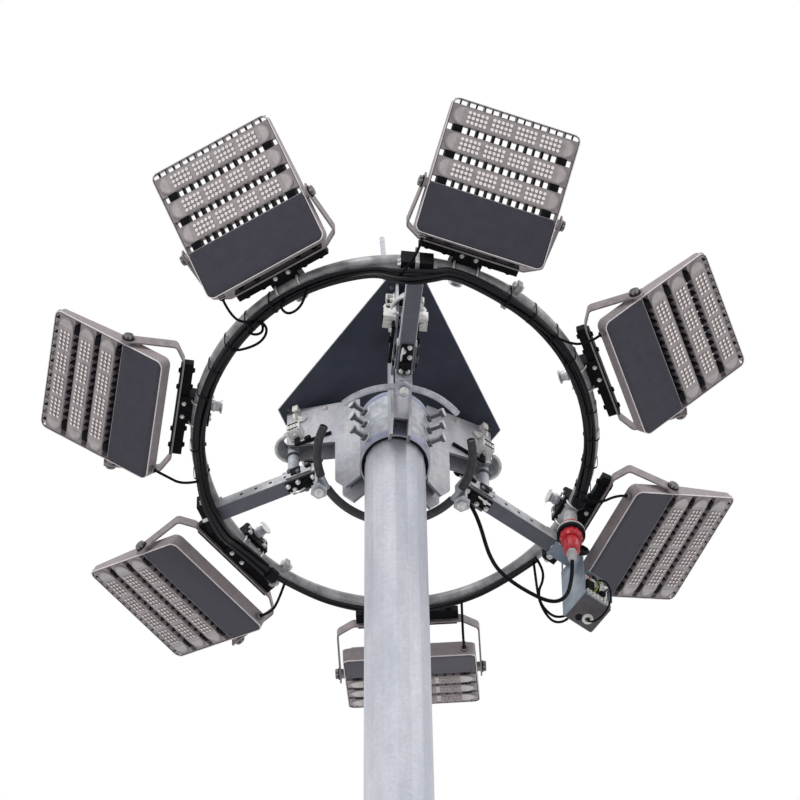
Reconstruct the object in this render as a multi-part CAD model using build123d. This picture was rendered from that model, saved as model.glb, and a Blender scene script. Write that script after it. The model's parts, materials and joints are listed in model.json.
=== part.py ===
from build123d import *
import os
from math import atan2, cos, degrees, pi, radians, sin, tan

# High mast floodlight tower: a tapered sixteen-sided steel shaft carries a fixed head with a
# three-cornered rain hood. A crown of one ring and three arms hangs docked under the head and can be
# lowered down the shaft. Seven LED floodlights tilt in yokes that are clamped to the ring.
# Millimetres. The origin is at the middle of the base flange's underside, +Z is up.

# Shaft
MAST_HEIGHT = 24812.0
SHAFT_SIDES = 16
BASE_ACROSS = 400.0
TOP_ACROSS = 178.0
SECTION_STARTS = (30.0, 8400.0, 16700.0)
SECTION_ENDS = (9000.0, 17200.0, MAST_HEIGHT)
SECTION_WALLS = (5.0, 4.5, 4.0)
SLIP_GAP = 0.3

# Base flange and gussets
FLANGE_DIAMETER = 620.0
FLANGE_THICK = 30.0
FLANGE_BORE = 300.0
BOLT_CIRCLE = 520.0
BOLT_COUNT = 8
BOLT_HOLE = 34.0
GUSSET_THICK = 12.0
GUSSET_HEIGHT = 160.0
GUSSET_REACH = 90.0
GUSSET_TOE = 20.0
GUSSET_TOP_REACH = 14.0

# Service door
DOOR_AZIMUTH = -101.25
DOOR_MIDDLE = 750.0
DOOR_WIDTH = 200.0
DOOR_HEIGHT = 600.0
DOOR_THICK = 4.0
DOOR_CORNER = 38.0
DOOR_PLAY = 2.0
DOOR_LIP = 14.0
FRAME_WALL = 10.0
FRAME_INNER_X = 146.0
FRAME_OUTER_X = 208.0
FRAME_CUT = 60.0
DOOR_SEAT_X = 196.0
LOCK_OFFSET = 230.0
LOCK_DIAMETER = 26.0

# How far the ring's plane lies below the shaft's top, and the hood's foot above that plane
HEAD_HEIGHT = 62.0
RING_Z = MAST_HEIGHT - HEAD_HEIGHT
HOOD_BASE = 322.0

# Fixed head
SLEEVE_GAP = 15.0
SLEEVE_RADIUS = TOP_ACROSS / 2 + SLEEVE_GAP
SLEEVE_WALL = 4.0
SLEEVE_BOTTOM = -184.0
SLEEVE_TOP = 82.0
CAP_THICK = 8.0
LINING_HEIGHT = 34.0
LINING_THICK = 5.8
SCREW_AZIMUTHS = (217.0, -23.0, 97.0)
SCREW_HEIGHTS = (25.0, -48.0, -126.0)
SCREW_DIAMETER = 16.0
SCREW_NUT = 24.0
SCREW_NUT_LENGTH = 14.0
SCREW_OUT = 56.0
SCREW_HEAD_LENGTH = 10.0
DRILL_TURN = 30.0
HOLE_PLAY = 0.5
SEAT_GAP = 0.2

# Head brackets: two cheek plates on each of the three arm azimuths
ARM_AZIMUTHS = {"near": -83.2, "right": 36.8, "left": 156.8}
CHEEK_GAP = 46.0
CHEEK_THICK = 8.0
CHEEK_END = 340.0
CHEEK_SEAT_R = 296.0
CHEEK_ROOT_Z = 236.0
CHEEK_END_LOW = 134.0
CHEEK_CORNER_R = 305.0
CHEEK_CORNER_Z = 109.0
LEG_DEEP = 77.0
LEG_TOP = 40.0
LEG_LOW = -190.0
LEG_TIP_DEEP = 43.0
LEG_TIP_Z = -256.0
LEG_ROOT_Z = -209.0
LEG_ROOT_SINK = 20.0
WEB_OUT = 46.0
WEB_THICK = 6.0
WEB_TOP = 10.0
WEB_BOTTOM = -172.0
SHEAVE_R = 288.0
SHEAVE_Z = 250.0
SHEAVE_RADIUS = 58.0
SHEAVE_WIDTH = 26.0
SHEAVE_GROOVE = 7.0
PIN_DIAMETER = 20.0
PIN_PLAY = 0.1
PIN_HEAD = 32.0
PIN_HEAD_LENGTH = 6.0
HORN_TOP = 222.0
HORN_THROAT = 196.0
HORN_MOUTH = 160.0
HORN_MOUTH_RADIUS = 44.0
HORN_WALL = 4.0
STOP_THICK = 6.0
STOP_DEEP = 30.0
LATCH_R = 305.0
LATCH_Z = 164.0
LATCH_LENGTH = 42.0
LATCH_WIDTH = 36.0
LATCH_HEIGHT = 46.0

# Rain hood and lightning rod
HOOD_CORNER = 359.0
HOOD_CUT = 113.0
HOOD_RISE = 95.0
HOOD_SHEET = 3.0
HOOD_TIP = 0.04
ROD_DIAMETER = 15.0
ROD_TOP = 1242.0
ROD_LEAN = 2.2
BOSS_DIAMETER = 50.0
BOSS_HEIGHT = 30.0
BOSS_SINK = 9.5

# Ring
RING_RADIUS = 590.0
RING_TUBE = 42.4
RING_WALL = 3.2
SPLICE_AZIMUTH = -53.3
LUG_RADIAL = 92.0
LUG_HIGH = 34.0
LUG_THICK = 8.0
LUG_BOLT_OFFSET = 34.0
LUG_BOLT = 12.0
BOLT_ACROSS = 1.5
NUT_HIGH = 0.8
HEAD_HIGH = 0.6

# Arms, saddles, dock posts and guides
ARM_SIDE = 50.0
ARM_WALL = 4.0
ARM_CORNER = 6.0
ARM_START = 250.0
ARM_SHORT = 5.0
ARM_END = RING_RADIUS - ARM_SHORT
ARM_HOLE = 11.0
ARM_HOLE_PITCH = 48.0
SADDLE_REACH = 38.0
SADDLE_END = RING_RADIUS + SADDLE_REACH
SADDLE_WIDTH = 97.0
SADDLE_TOP = -4.0
POST_R = 332.0
POST_DIAMETER = 34.0
POST_TOP = 176.0
POST_FOOT = 50.0
POST_FOOT_THICK = 6.0
POST_TIP = 14.0
GUIDE_Z = -118.0
GUIDE_TUBE = 20.0
GUIDE_WALL = 2.5
GUIDE_HALF_ANGLE = 47.0
HOSE_DIAMETER = 26.0
HOSE_OVERHANG = 1.5
HOSE_START = 6.0
BRACKET_THICK = 8.0
BRACKET_BOTTOM = -156.0
FOOT_RADIUS = 27.0
FOOT_THICK = 8.0
FOOT_BOLT = 16.0
FOOT_BOLT_LENGTH = 7.0

# Lamps, yokes and clamps
LIGHT_AZIMUTHS = (-121.0, -69.2, -18.3, 28.0, 87.2, 138.8, -171.6)
LIGHT_TILTS = (36.2, 33.2, 39.3, 34.5, 38.8, 32.4, 38.7)
PIVOT_Z = 12.0
LIGHT_WIDTH = 402.0
LIGHT_INNER = 147.0
LIGHT_OUTER = 269.0
LIGHT_FACE = 14.0
LIGHT_BACK = 26.0
LIGHT_OUTER_BACK = 8.0
LIGHT_BREAK = 60.0
LIGHT_CORNER = 22.0
OUTER_VENT = 18.0
VENT = 21.0
MODULE = 60.0
OUTER_OPENINGS = 8
OUTER_SIDE = 3.0
VENT_OPENINGS = 6
VENT_SIDE = 51.0
VENT_RIB = 6.0
VENT_RIM = 4.0
END_OPENING_SIDE = 5.0
END_OPENING = 18.0
LENS_SIDE = 10.0
LENS_DEEP = 3.0
LENS_PROUD = 3.0
LENS_PLAY = 0.3
DRIVER_RISE = 14.0
PIVOT_PIN = 16.0
PIVOT_BOSS = 30.0
PIVOT_BOSS_LENGTH = 10.0
PIVOT_BOSS_SINK = 5.0
WASHER_DIAMETER = 36.0
WASHER_THICK = 3.0
PIVOT_HEAD = 27.0
PIVOT_HEAD_LENGTH = 9.0
SIDE_PLAY = 0.5
GLAND_DIAMETER = 20.0
GLAND_LENGTH = 12.0
GLAND_Y = -168.0
GLAND_Z = 6.0
YOKE_THICK = 5.0
YOKE_WIDTH = 40.0
YOKE_STANDOFF = 65.0
YOKE_BASE_R = RING_RADIUS + YOKE_STANDOFF
GLAND_SWING_GAP = 15.0
PIVOT_R = YOKE_BASE_R + LIGHT_INNER + GLAND_LENGTH + GLAND_SWING_GAP
YOKE_BASE_HALF = 165.0
YOKE_BEND_OUT = 28.0
YOKE_BEND_R = YOKE_BASE_R + YOKE_BEND_OUT
YOKE_BEND = 16.0
YOKE_END = 22.0
BAR_HALF = 155.0
BAR_DEEP = 28.0
BAR_HIGH = 28.0
BAR_Z = 22.0
CLAMP_REACH = 34.0
CLAMP_INNER_R = RING_RADIUS - CLAMP_REACH
CLAMP_HALF = 46.0
CLAMP_LOW = 2.0
CLAMP_TOP = 62.0
U_BOLT_ROD = 6.0
U_BOLT_PLAY = 1.5
U_BOLT_OFFSET = 37.0
U_BOLT_TOP = 76.0
SPIGOT_Z = 50.0
SPIGOT_LENGTH = 34.0
SPIGOT_R = CLAMP_INNER_R - SPIGOT_LENGTH
SPIGOT_DIAMETER = 30.0
SPIGOT_FLARE = 42.0
SPIGOT_FLARE_LENGTH = 7.0
SPIGOT_BORE = 24.0
SPIGOT_MOUTH = 32.0

# Electrical pieces on the crown
BUNDLE_DIAMETER = 40.0
BUNDLE_START = 128.0
BUNDLE_END = 382.5
BUNDLE_PITCH = 14.0
BUNDLE_DIP = 46.0
DIP_HALF_FLAT = 6.0
DIP_HALF_WIDE = 12.0
THIN_RUN = 22.0
THIN_SINK = 2.0
THIN_START = 44.0
LEAD_DIAMETER = 8.0
LEAD_TURNS = (13.6, 19.2, 20.3, 7.7, 16.6, 14.0, 20.0)
LEAD_OUT = 34.0
LEAD_SAG = 14.0
SUPPLY_DIAMETER = 12.0
BOX_AZIMUTH = 37.0
BOX_OUT = 125.0
BOX_R = RING_RADIUS + BOX_OUT
BOX_RADIAL = 100.0
BOX_WIDTH = 103.0
BOX_TOP = -185.0
BOX_BOTTOM = -330.0
BOX_WALL = 4.0
BOX_CORNER = 8.0
PLATE_THICK = 5.0
COUPLER_AZIMUTH = 27.2
COUPLER_R = RING_RADIUS
COUPLER_BOTTOM = -278.0
COUPLER_RADII = (14.0, 25.0, 33.0, 43.5, 33.0, 21.0)
COUPLER_STEPS = (34.0, 96.0, 128.0, 142.0, 208.0)


def block(x0, x1, y0, y1, z0, z1):
    """A box between two corners."""
    middle = Pos((x0 + x1) / 2, (y0 + y1) / 2, (z0 + z1) / 2)
    return middle * Box(x1 - x0, y1 - y0, z1 - z0)


def rod(radius, start, end):
    """A round bar from one point to another."""
    along = Vector(*end) - Vector(*start)
    plane = Plane(origin=start, z_dir=along)
    return plane * Cylinder(radius, along.length, align=(Align.CENTER, Align.CENTER, Align.MIN))


def hexagon_bar(across, start, end):
    """A six-sided bar from one point to another."""
    along = Vector(*end) - Vector(*start)
    plane = Plane(origin=start, z_dir=along)
    return extrude(plane * RegularPolygon(across / 2, 6, major_radius=False), along.length)


def placed(azimuth, shape, level=RING_Z):
    """Turn a shape drawn along +X to an azimuth, and lift it to a level."""
    return Pos(0, 0, level) * Rot(0, 0, azimuth) * shape


def as_solids(shapes):
    """One compound of all the solids in a list of shapes."""
    return Compound(children=[solid for shape in shapes for solid in shape.solids()])


# Shaft: three tapered sections, each pushed over the one below
CORNER = cos(pi / SHAFT_SIDES)
STEPS = [(wall + SLIP_GAP) / CORNER for wall in SECTION_WALLS[1:]]
SLOPE = ((BASE_ACROSS - TOP_ACROSS) / 2 + sum(STEPS)) / MAST_HEIGHT


def shaft_radius(section, z):
    """Radius of a section's outer corners at a height."""
    return BASE_ACROSS / 2 + sum(STEPS[:section]) - SLOPE * z


def frustum(section, inset, z0, z1):
    """A section's outer shape between two heights, drawn in by a wall."""
    ends = []
    for z in (z0, z1):
        corner = shaft_radius(section, z) - inset / CORNER
        ends.append(Plane.XY.offset(z) * RegularPolygon(corner, SHAFT_SIDES))
    return loft(ends, ruled=True)


def shaft_section(section):
    z0 = SECTION_STARTS[section]
    z1 = SECTION_ENDS[section]
    return frustum(section, 0, z0, z1) - frustum(section, SECTION_WALLS[section], z0, z1)


def base_flange():
    plate = Cylinder(FLANGE_DIAMETER / 2, FLANGE_THICK, align=(Align.CENTER, Align.CENTER, Align.MIN))
    plate -= Pos(0, 0, FLANGE_THICK / 2) * Cylinder(FLANGE_BORE / 2, 2 * FLANGE_THICK)
    hole = Pos(BOLT_CIRCLE / 2, 0, FLANGE_THICK / 2) * Cylinder(BOLT_HOLE / 2, 2 * FLANGE_THICK)
    for i in range(BOLT_COUNT):
        plate -= Rot(0, 0, 360 / BOLT_COUNT * (i + 0.5)) * hole
    return plate


def base_gussets():
    inner = FLANGE_BORE / 2
    outer = BASE_ACROSS / 2 + GUSSET_REACH
    top = FLANGE_THICK + GUSSET_HEIGHT
    outline = Polyline(
        (inner, 0, FLANGE_THICK),
        (outer, 0, FLANGE_THICK),
        (outer, 0, FLANGE_THICK + GUSSET_TOE),
        (BASE_ACROSS / 2 + GUSSET_TOP_REACH, 0, top),
        (inner, 0, top),
        close=True,
    )
    plate = extrude(make_face(outline), GUSSET_THICK / 2, both=True)
    shaft = frustum(0, -SEAT_GAP, 0, top + FLANGE_THICK)
    plates = [Rot(0, 0, 360 / BOLT_COUNT * i) * plate - shaft for i in range(BOLT_COUNT)]
    return as_solids(plates)


def door_prism(margin, x0, x1):
    """A rounded upright rectangle, wider than the door by a margin, along the door's own +X."""
    outline = Plane.YZ * RectangleRounded(
        DOOR_WIDTH + 2 * margin, DOOR_HEIGHT + 2 * margin, DOOR_CORNER + margin
    )
    return Pos(x0, 0, 0) * extrude(outline, x1 - x0)


def door_frame():
    frame = door_prism(FRAME_WALL, FRAME_INNER_X, FRAME_OUTER_X)
    frame -= door_prism(0, DOOR_SEAT_X, FRAME_OUTER_X + 1)
    frame -= door_prism(-DOOR_LIP, FRAME_INNER_X - 1, DOOR_SEAT_X + 1)
    return placed(DOOR_AZIMUTH, frame, DOOR_MIDDLE)


def service_door():
    door = door_prism(-DOOR_PLAY, DOOR_SEAT_X, DOOR_SEAT_X + DOOR_THICK)
    for z in (-LOCK_OFFSET, LOCK_OFFSET):
        door += rod(LOCK_DIAMETER / 2, (DOOR_SEAT_X + DOOR_THICK, 0, z), (FRAME_OUTER_X, 0, z))
    return placed(DOOR_AZIMUTH, door, DOOR_MIDDLE)


def bottom_section():
    opening = door_prism(FRAME_WALL, FRAME_INNER_X - FRAME_CUT, FRAME_OUTER_X + FRAME_CUT)
    return shaft_section(0) - placed(DOOR_AZIMUTH, opening, DOOR_MIDDLE)


# Fixed head
CHEEK_INNER_Y = CHEEK_GAP / 2
CHEEK_OUTER_Y = CHEEK_INNER_Y + CHEEK_THICK
CAP_Z = MAST_HEIGHT - RING_Z


def screw_places():
    return [(azimuth, z) for azimuth in SCREW_AZIMUTHS for z in SCREW_HEIGHTS]


def head_sleeve():
    inner = SLEEVE_RADIUS - SLEEVE_WALL
    profile = make_face(Polyline(
        (inner, 0, SLEEVE_BOTTOM),
        (SLEEVE_RADIUS, 0, SLEEVE_BOTTOM),
        (SLEEVE_RADIUS, 0, SLEEVE_TOP),
        (inner, 0, SLEEVE_TOP),
        (inner, 0, CAP_Z + CAP_THICK),
        (0, 0, CAP_Z + CAP_THICK),
        (0, 0, CAP_Z),
        (inner, 0, CAP_Z),
        close=True,
    ))
    sleeve = revolve(profile, Axis.Z)
    drill = Cylinder(SCREW_DIAMETER / 2 + HOLE_PLAY, 10 * SLEEVE_WALL)
    drill = Pos(SLEEVE_RADIUS, 0, 0) * Rot(0, 90, 0) * Rot(0, 0, DRILL_TURN) * drill
    for azimuth, z in screw_places():
        sleeve -= Pos(0, 0, z) * Rot(0, 0, azimuth) * drill
    return placed(0, sleeve)


def sleeve_lining():
    outer = SLEEVE_RADIUS - SLEEVE_WALL - SEAT_GAP
    ring = Cylinder(outer, LINING_HEIGHT) - Cylinder(outer - LINING_THICK, LINING_HEIGHT)
    return placed(0, Pos(0, 0, SLEEVE_BOTTOM + LINING_HEIGHT / 2) * ring)


def set_screws():
    screws = []
    for azimuth, z in screw_places():
        tip = shaft_radius(2, RING_Z + z) + SLIP_GAP
        seat = SLEEVE_RADIUS + SEAT_GAP
        head = SLEEVE_RADIUS + SCREW_OUT
        screw = rod(SCREW_DIAMETER / 2, (tip, 0, 0), (head, 0, 0))
        screw += hexagon_bar(SCREW_NUT, (seat, 0, 0), (seat + SCREW_NUT_LENGTH, 0, 0))
        screw += hexagon_bar(SCREW_NUT, (head - SCREW_HEAD_LENGTH, 0, 0), (head, 0, 0))
        screws.append(placed(azimuth, screw, RING_Z + z))
    return as_solids(screws)


def cheek():
    """The outline of one cheek plate: an arm under the hood and a leg down the sleeve."""
    outline = Polyline(
        (SLEEVE_RADIUS - LEG_ROOT_SINK, 0, CHEEK_ROOT_Z),
        (CHEEK_SEAT_R, 0, HOOD_BASE),
        (CHEEK_END, 0, HOOD_BASE),
        (CHEEK_END, 0, CHEEK_END_LOW),
        (CHEEK_CORNER_R, 0, CHEEK_CORNER_Z),
        (SLEEVE_RADIUS + LEG_DEEP, 0, LEG_TOP),
        (SLEEVE_RADIUS + LEG_DEEP, 0, LEG_LOW),
        (SLEEVE_RADIUS + LEG_TIP_DEEP, 0, LEG_TIP_Z),
        (SLEEVE_RADIUS - LEG_ROOT_SINK, 0, LEG_ROOT_Z),
        close=True,
    )
    plate = extrude(make_face(outline), CHEEK_THICK / 2, both=True)
    hole = PIN_DIAMETER / 2 + PIN_PLAY
    return plate - rod(hole, (SHEAVE_R, -CHEEK_THICK, SHEAVE_Z), (SHEAVE_R, CHEEK_THICK, SHEAVE_Z))


def head_brackets():
    barrel = Cylinder(SLEEVE_RADIUS + SEAT_GAP, 4 * HOOD_BASE)
    plates = []
    for azimuth in ARM_AZIMUTHS.values():
        for side in (-1, 1):
            plate = Pos(0, side * (CHEEK_INNER_Y + CHEEK_THICK / 2), 0) * cheek()
            plates.append(placed(azimuth, plate - barrel))
    return as_solids(plates)


def bracket_webs():
    half = CHEEK_INNER_Y
    x = SLEEVE_RADIUS + WEB_OUT
    web = block(x, x + WEB_THICK, -half, half, WEB_BOTTOM, WEB_TOP)
    return as_solids([placed(azimuth, web) for azimuth in ARM_AZIMUTHS.values()])


def rope_sheaves():
    half = SHEAVE_WIDTH / 2
    profile = make_face(Polyline(
        (PIN_DIAMETER / 2 + PIN_PLAY, -half, 0),
        (SHEAVE_RADIUS, -half, 0),
        (SHEAVE_RADIUS, -SHEAVE_GROOVE, 0),
        (SHEAVE_RADIUS - SHEAVE_GROOVE, 0, 0),
        (SHEAVE_RADIUS, SHEAVE_GROOVE, 0),
        (SHEAVE_RADIUS, half, 0),
        (PIN_DIAMETER / 2 + PIN_PLAY, half, 0),
        close=True,
    ))
    wheel = Pos(SHEAVE_R, 0, SHEAVE_Z) * revolve(profile, Axis.Y)
    return as_solids([placed(azimuth, wheel) for azimuth in ARM_AZIMUTHS.values()])


def sheave_pins():
    end = CHEEK_OUTER_Y + SEAT_GAP
    pin = rod(PIN_DIAMETER / 2, (SHEAVE_R, -end, SHEAVE_Z), (SHEAVE_R, end, SHEAVE_Z))
    for side in (-1, 1):
        start = (SHEAVE_R, side * end, SHEAVE_Z)
        pin += rod(PIN_HEAD / 2, start, (SHEAVE_R, side * (end + PIN_HEAD_LENGTH), SHEAVE_Z))
    return as_solids([placed(azimuth, pin) for azimuth in ARM_AZIMUTHS.values()])


def dock_horns():
    """Half funnels on the ends of the cheeks, which lead the dock posts in from below, and the
    stop plates between the cheeks, where the posts' tips end.
    """
    throat = CHEEK_INNER_Y
    profile = make_face(Polyline(
        (throat, 0, HORN_TOP),
        (throat, 0, HORN_THROAT),
        (HORN_MOUTH_RADIUS, 0, HORN_MOUTH),
        (HORN_MOUTH_RADIUS + HORN_WALL, 0, HORN_MOUTH),
        (throat + HORN_WALL, 0, HORN_THROAT + HORN_WALL / 2),
        (throat + HORN_WALL, 0, HORN_TOP),
        close=True,
    ))
    half_ring = revolve(Rot(0, 0, -90) * profile, Axis.Z, 180)
    horn = Pos(CHEEK_END, 0, 0) * half_ring
    low = POST_TOP + SEAT_GAP
    stop = block(CHEEK_END - STOP_DEEP, CHEEK_END, -throat, throat, low, low + STOP_THICK)
    pieces = []
    for azimuth in ARM_AZIMUTHS.values():
        pieces += [placed(azimuth, horn), placed(azimuth, stop)]
    return as_solids(pieces)


def latch_blocks():
    x0 = LATCH_R - LATCH_LENGTH / 2
    z0 = LATCH_Z - LATCH_HEIGHT / 2
    y1 = CHEEK_OUTER_Y + LATCH_WIDTH
    body = block(x0, x0 + LATCH_LENGTH, CHEEK_OUTER_Y, y1, z0, z0 + LATCH_HEIGHT)
    groove = LATCH_LENGTH / 9
    for i in range(1, 4):
        x = x0 + (2 * i) * groove
        body -= block(x, x + groove, y1 - groove, y1 + 1, z0 - 1, z0 + LATCH_HEIGHT + 1)
    blocks = []
    for azimuth in ARM_AZIMUTHS.values():
        blocks.append(placed(azimuth, body))
        blocks.append(placed(azimuth, mirror(body, Plane.XZ)))
    return as_solids(blocks)


# Rain hood: a shallow three-sided pyramid on a flat deck, with its corners cut off
HALF_CUT = HOOD_CUT / 2
HOOD_SIDE = HOOD_CORNER * cos(radians(60)) + HALF_CUT * sin(radians(60))


def hood_outline():
    points = []
    for azimuth in sorted(ARM_AZIMUTHS.values()):
        for y in (-HALF_CUT, HALF_CUT):
            point = Vector(HOOD_CORNER, y, 0).rotate(Axis.Z, azimuth)
            points.append((point.X, point.Y))
    return make_face(Polyline(*points, close=True))


def hood_pyramid(rise):
    """The full pyramid above the deck: three sloping planes from the long sides to the tip."""
    corner = 2 * HOOD_SIDE
    first = min(ARM_AZIMUTHS.values())
    foot = Rot(0, 0, first) * RegularPolygon(corner, 3)
    tip = Pos(0, 0, rise * (1 - HOOD_TIP)) * Rot(0, 0, first) * RegularPolygon(corner * HOOD_TIP, 3)
    return loft([foot, tip], ruled=True)


def rain_hood():
    prism = extrude(hood_outline(), HOOD_RISE)
    shell = hood_pyramid(HOOD_RISE) - Pos(0, 0, -HOOD_SHEET) * hood_pyramid(HOOD_RISE)
    deck = extrude(hood_outline(), HOOD_SHEET)
    hood = (shell & prism) + deck
    return placed(0, hood, RING_Z + HOOD_BASE)


def lightning_rod():
    foot = HOOD_BASE + HOOD_RISE
    length = ROD_TOP - foot
    lean = Rot(0, -ROD_LEAN, 0)
    boss = Pos(0, 0, -BOSS_SINK) * Cylinder(
        BOSS_DIAMETER / 2, BOSS_HEIGHT, align=(Align.CENTER, Align.CENTER, Align.MIN)
    )
    bar = lean * Cylinder(ROD_DIAMETER / 2, length, align=(Align.CENTER, Align.CENTER, Align.MIN))
    bar += boss
    bar -= Pos(0, 0, -HOOD_RISE) * hood_pyramid(HOOD_RISE)
    return placed(0, bar, RING_Z + foot)


# Crown: ring, arms and what they carry
TUBE_R = RING_TUBE / 2
ARM_TOP = -TUBE_R
ARM_BOTTOM = ARM_TOP - ARM_SIDE


def ring_half(start):
    tube = Circle(TUBE_R) - Circle(TUBE_R - RING_WALL)
    profile = Pos(RING_RADIUS, 0, 0) * (Rot(90, 0, 0) * tube)
    half = revolve(profile, Axis.Z, 180)
    r0 = RING_RADIUS - LUG_RADIAL / 2
    r1 = RING_RADIUS + LUG_RADIAL / 2
    lug = block(r0, r1, 0, LUG_THICK, -LUG_HIGH / 2, LUG_HIGH / 2)
    for side in (-1, 1):
        r = RING_RADIUS + side * LUG_BOLT_OFFSET
        lug -= rod(LUG_BOLT / 2 + HOLE_PLAY, (r, -1, 0), (r, LUG_THICK + 1, 0))
    half += lug
    half += mirror(lug, Plane.YZ)
    return placed(start, half)


def splice_bolts():
    bolts = []
    grip = LUG_THICK + SEAT_GAP
    for azimuth in (SPLICE_AZIMUTH, SPLICE_AZIMUTH + 180):
        for side in (-1, 1):
            r = RING_RADIUS + side * LUG_BOLT_OFFSET
            bolt = rod(LUG_BOLT / 2, (r, -grip - LUG_BOLT, 0), (r, grip, 0))
            across = BOLT_ACROSS * LUG_BOLT
            bolt += hexagon_bar(across, (r, grip, 0), (r, grip + HEAD_HIGH * LUG_BOLT, 0))
            bolt += hexagon_bar(across, (r, -grip - NUT_HIGH * LUG_BOLT, 0), (r, -grip, 0))
            bolts.append(placed(azimuth, bolt))
    return as_solids(bolts)


def arm(azimuth):
    outer = RectangleRounded(ARM_SIDE, ARM_SIDE, ARM_CORNER)
    inner = RectangleRounded(ARM_SIDE - 2 * ARM_WALL, ARM_SIDE - 2 * ARM_WALL, ARM_CORNER - ARM_WALL)
    section = Plane.YZ * (outer - inner)
    tube = Pos(ARM_START, 0, (ARM_TOP + ARM_BOTTOM) / 2) * extrude(section, ARM_END - ARM_START)
    middle = (ARM_TOP + ARM_BOTTOM) / 2
    count = int((ARM_END - ARM_START - ARM_SIDE) // ARM_HOLE_PITCH)
    for i in range(count):
        x = ARM_START + ARM_SIDE + i * ARM_HOLE_PITCH
        tube -= rod(ARM_HOLE / 2, (x, -ARM_SIDE, middle), (x, ARM_SIDE, middle))
    return placed(azimuth, tube)


def arm_saddles():
    cradle = Torus(RING_RADIUS, TUBE_R + SEAT_GAP)
    half = SADDLE_WIDTH / 2
    body = block(ARM_END, SADDLE_END, -half, half, ARM_BOTTOM, SADDLE_TOP) - cradle
    return as_solids([placed(azimuth, body) for azimuth in ARM_AZIMUTHS.values()])


def dock_posts():
    radius = POST_DIAMETER / 2
    half = POST_FOOT / 2
    foot = block(POST_R - half, POST_R + half, -half, half, ARM_TOP, ARM_TOP + POST_FOOT_THICK)
    post = rod(radius, (POST_R, 0, ARM_TOP + POST_FOOT_THICK), (POST_R, 0, POST_TOP - POST_TIP))
    tip = Pos(POST_R, 0, POST_TOP - POST_TIP) * Cone(
        radius, radius / 2, POST_TIP, align=(Align.CENTER, Align.CENTER, Align.MIN)
    )
    whole = foot + post + tip
    return as_solids([placed(azimuth, whole) for azimuth in ARM_AZIMUTHS.values()])


BRACKET_X = ARM_START - BRACKET_THICK
GUIDE_RADIUS = BRACKET_X - GUIDE_TUBE / 2 - SEAT_GAP


def guide_brackets():
    half = ARM_SIDE / 2
    plate = block(BRACKET_X, ARM_START, -half, half, BRACKET_BOTTOM, ARM_TOP)
    foot_r = BRACKET_X + FOOT_RADIUS / 2 - FOOT_THICK
    low = BRACKET_BOTTOM - FOOT_THICK
    foot = Pos(foot_r, 0, low) * extrude(RegularPolygon(FOOT_RADIUS, 6), FOOT_THICK)
    bolt = hexagon_bar(FOOT_BOLT, (foot_r, 0, low - FOOT_BOLT_LENGTH), (foot_r, 0, low))
    whole = plate + foot + bolt
    return as_solids([placed(azimuth, whole) for azimuth in ARM_AZIMUTHS.values()])


def bent_tube(outer, inner, start, end):
    """A tube bent to the guide's radius between two angles."""
    ring = Circle(outer / 2)
    if inner > 0:
        ring = ring - Circle(inner / 2)
    profile = Pos(GUIDE_RADIUS, 0, GUIDE_Z) * (Rot(90, 0, 0) * ring)
    return Rot(0, 0, start) * revolve(profile, Axis.Z, end - start)


def guide_arcs():
    tube = bent_tube(GUIDE_TUBE, GUIDE_TUBE - 2 * GUIDE_WALL, -GUIDE_HALF_ANGLE, GUIDE_HALF_ANGLE)
    return as_solids([placed(azimuth, tube) for azimuth in ARM_AZIMUTHS.values()])


def guide_hoses():
    bore = GUIDE_TUBE + 2 * SEAT_GAP
    end = GUIDE_HALF_ANGLE + HOSE_OVERHANG
    hoses = []
    for name in ("right", "left"):
        for start, stop in ((-end, -HOSE_START), (HOSE_START, end)):
            hoses.append(placed(ARM_AZIMUTHS[name], bent_tube(HOSE_DIAMETER, bore, start, stop)))
    return as_solids(hoses)


# Yokes and clamps
YOKE_ARM_Y = LIGHT_WIDTH / 2 + PIVOT_BOSS_LENGTH + SIDE_PLAY
YOKE_MIDDLE_Y = YOKE_ARM_Y + YOKE_THICK / 2
BAR_OUTER_R = YOKE_BASE_R - YOKE_THICK / 2


def yoke_line(out):
    """The yoke's bent line with rounded corners, moved in or out from the strap's middle."""
    lean = atan2(YOKE_BEND_R - YOKE_BASE_R, YOKE_MIDDLE_Y - YOKE_BASE_HALF)
    y = YOKE_MIDDLE_Y + out
    base = YOKE_BASE_R - out
    half = YOKE_BASE_HALF + out * tan(lean / 2)
    corner = YOKE_BEND_R - out * tan(pi / 4 - lean / 2)
    return FilletPolyline(
        (PIVOT_R + YOKE_END, -y),
        (corner, -y),
        (base, -half),
        (base, half),
        (corner, y),
        (PIVOT_R + YOKE_END, y),
        radius=YOKE_BEND + out,
    )


def yoke(azimuth):
    outer = yoke_line(YOKE_THICK / 2)
    inner = yoke_line(-YOKE_THICK / 2)
    ends = [Line(outer @ t, inner @ t) for t in (0, 1)]
    strip = make_face([*outer.edges(), *inner.edges(), *ends])
    strap = Pos(0, 0, PIVOT_Z - YOKE_WIDTH / 2) * extrude(strip, YOKE_WIDTH)
    end = 2 * YOKE_MIDDLE_Y
    strap -= rod(PIVOT_PIN / 2 + PIN_PLAY, (PIVOT_R, -end, PIVOT_Z), (PIVOT_R, end, PIVOT_Z))
    return placed(azimuth, strap)


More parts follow.
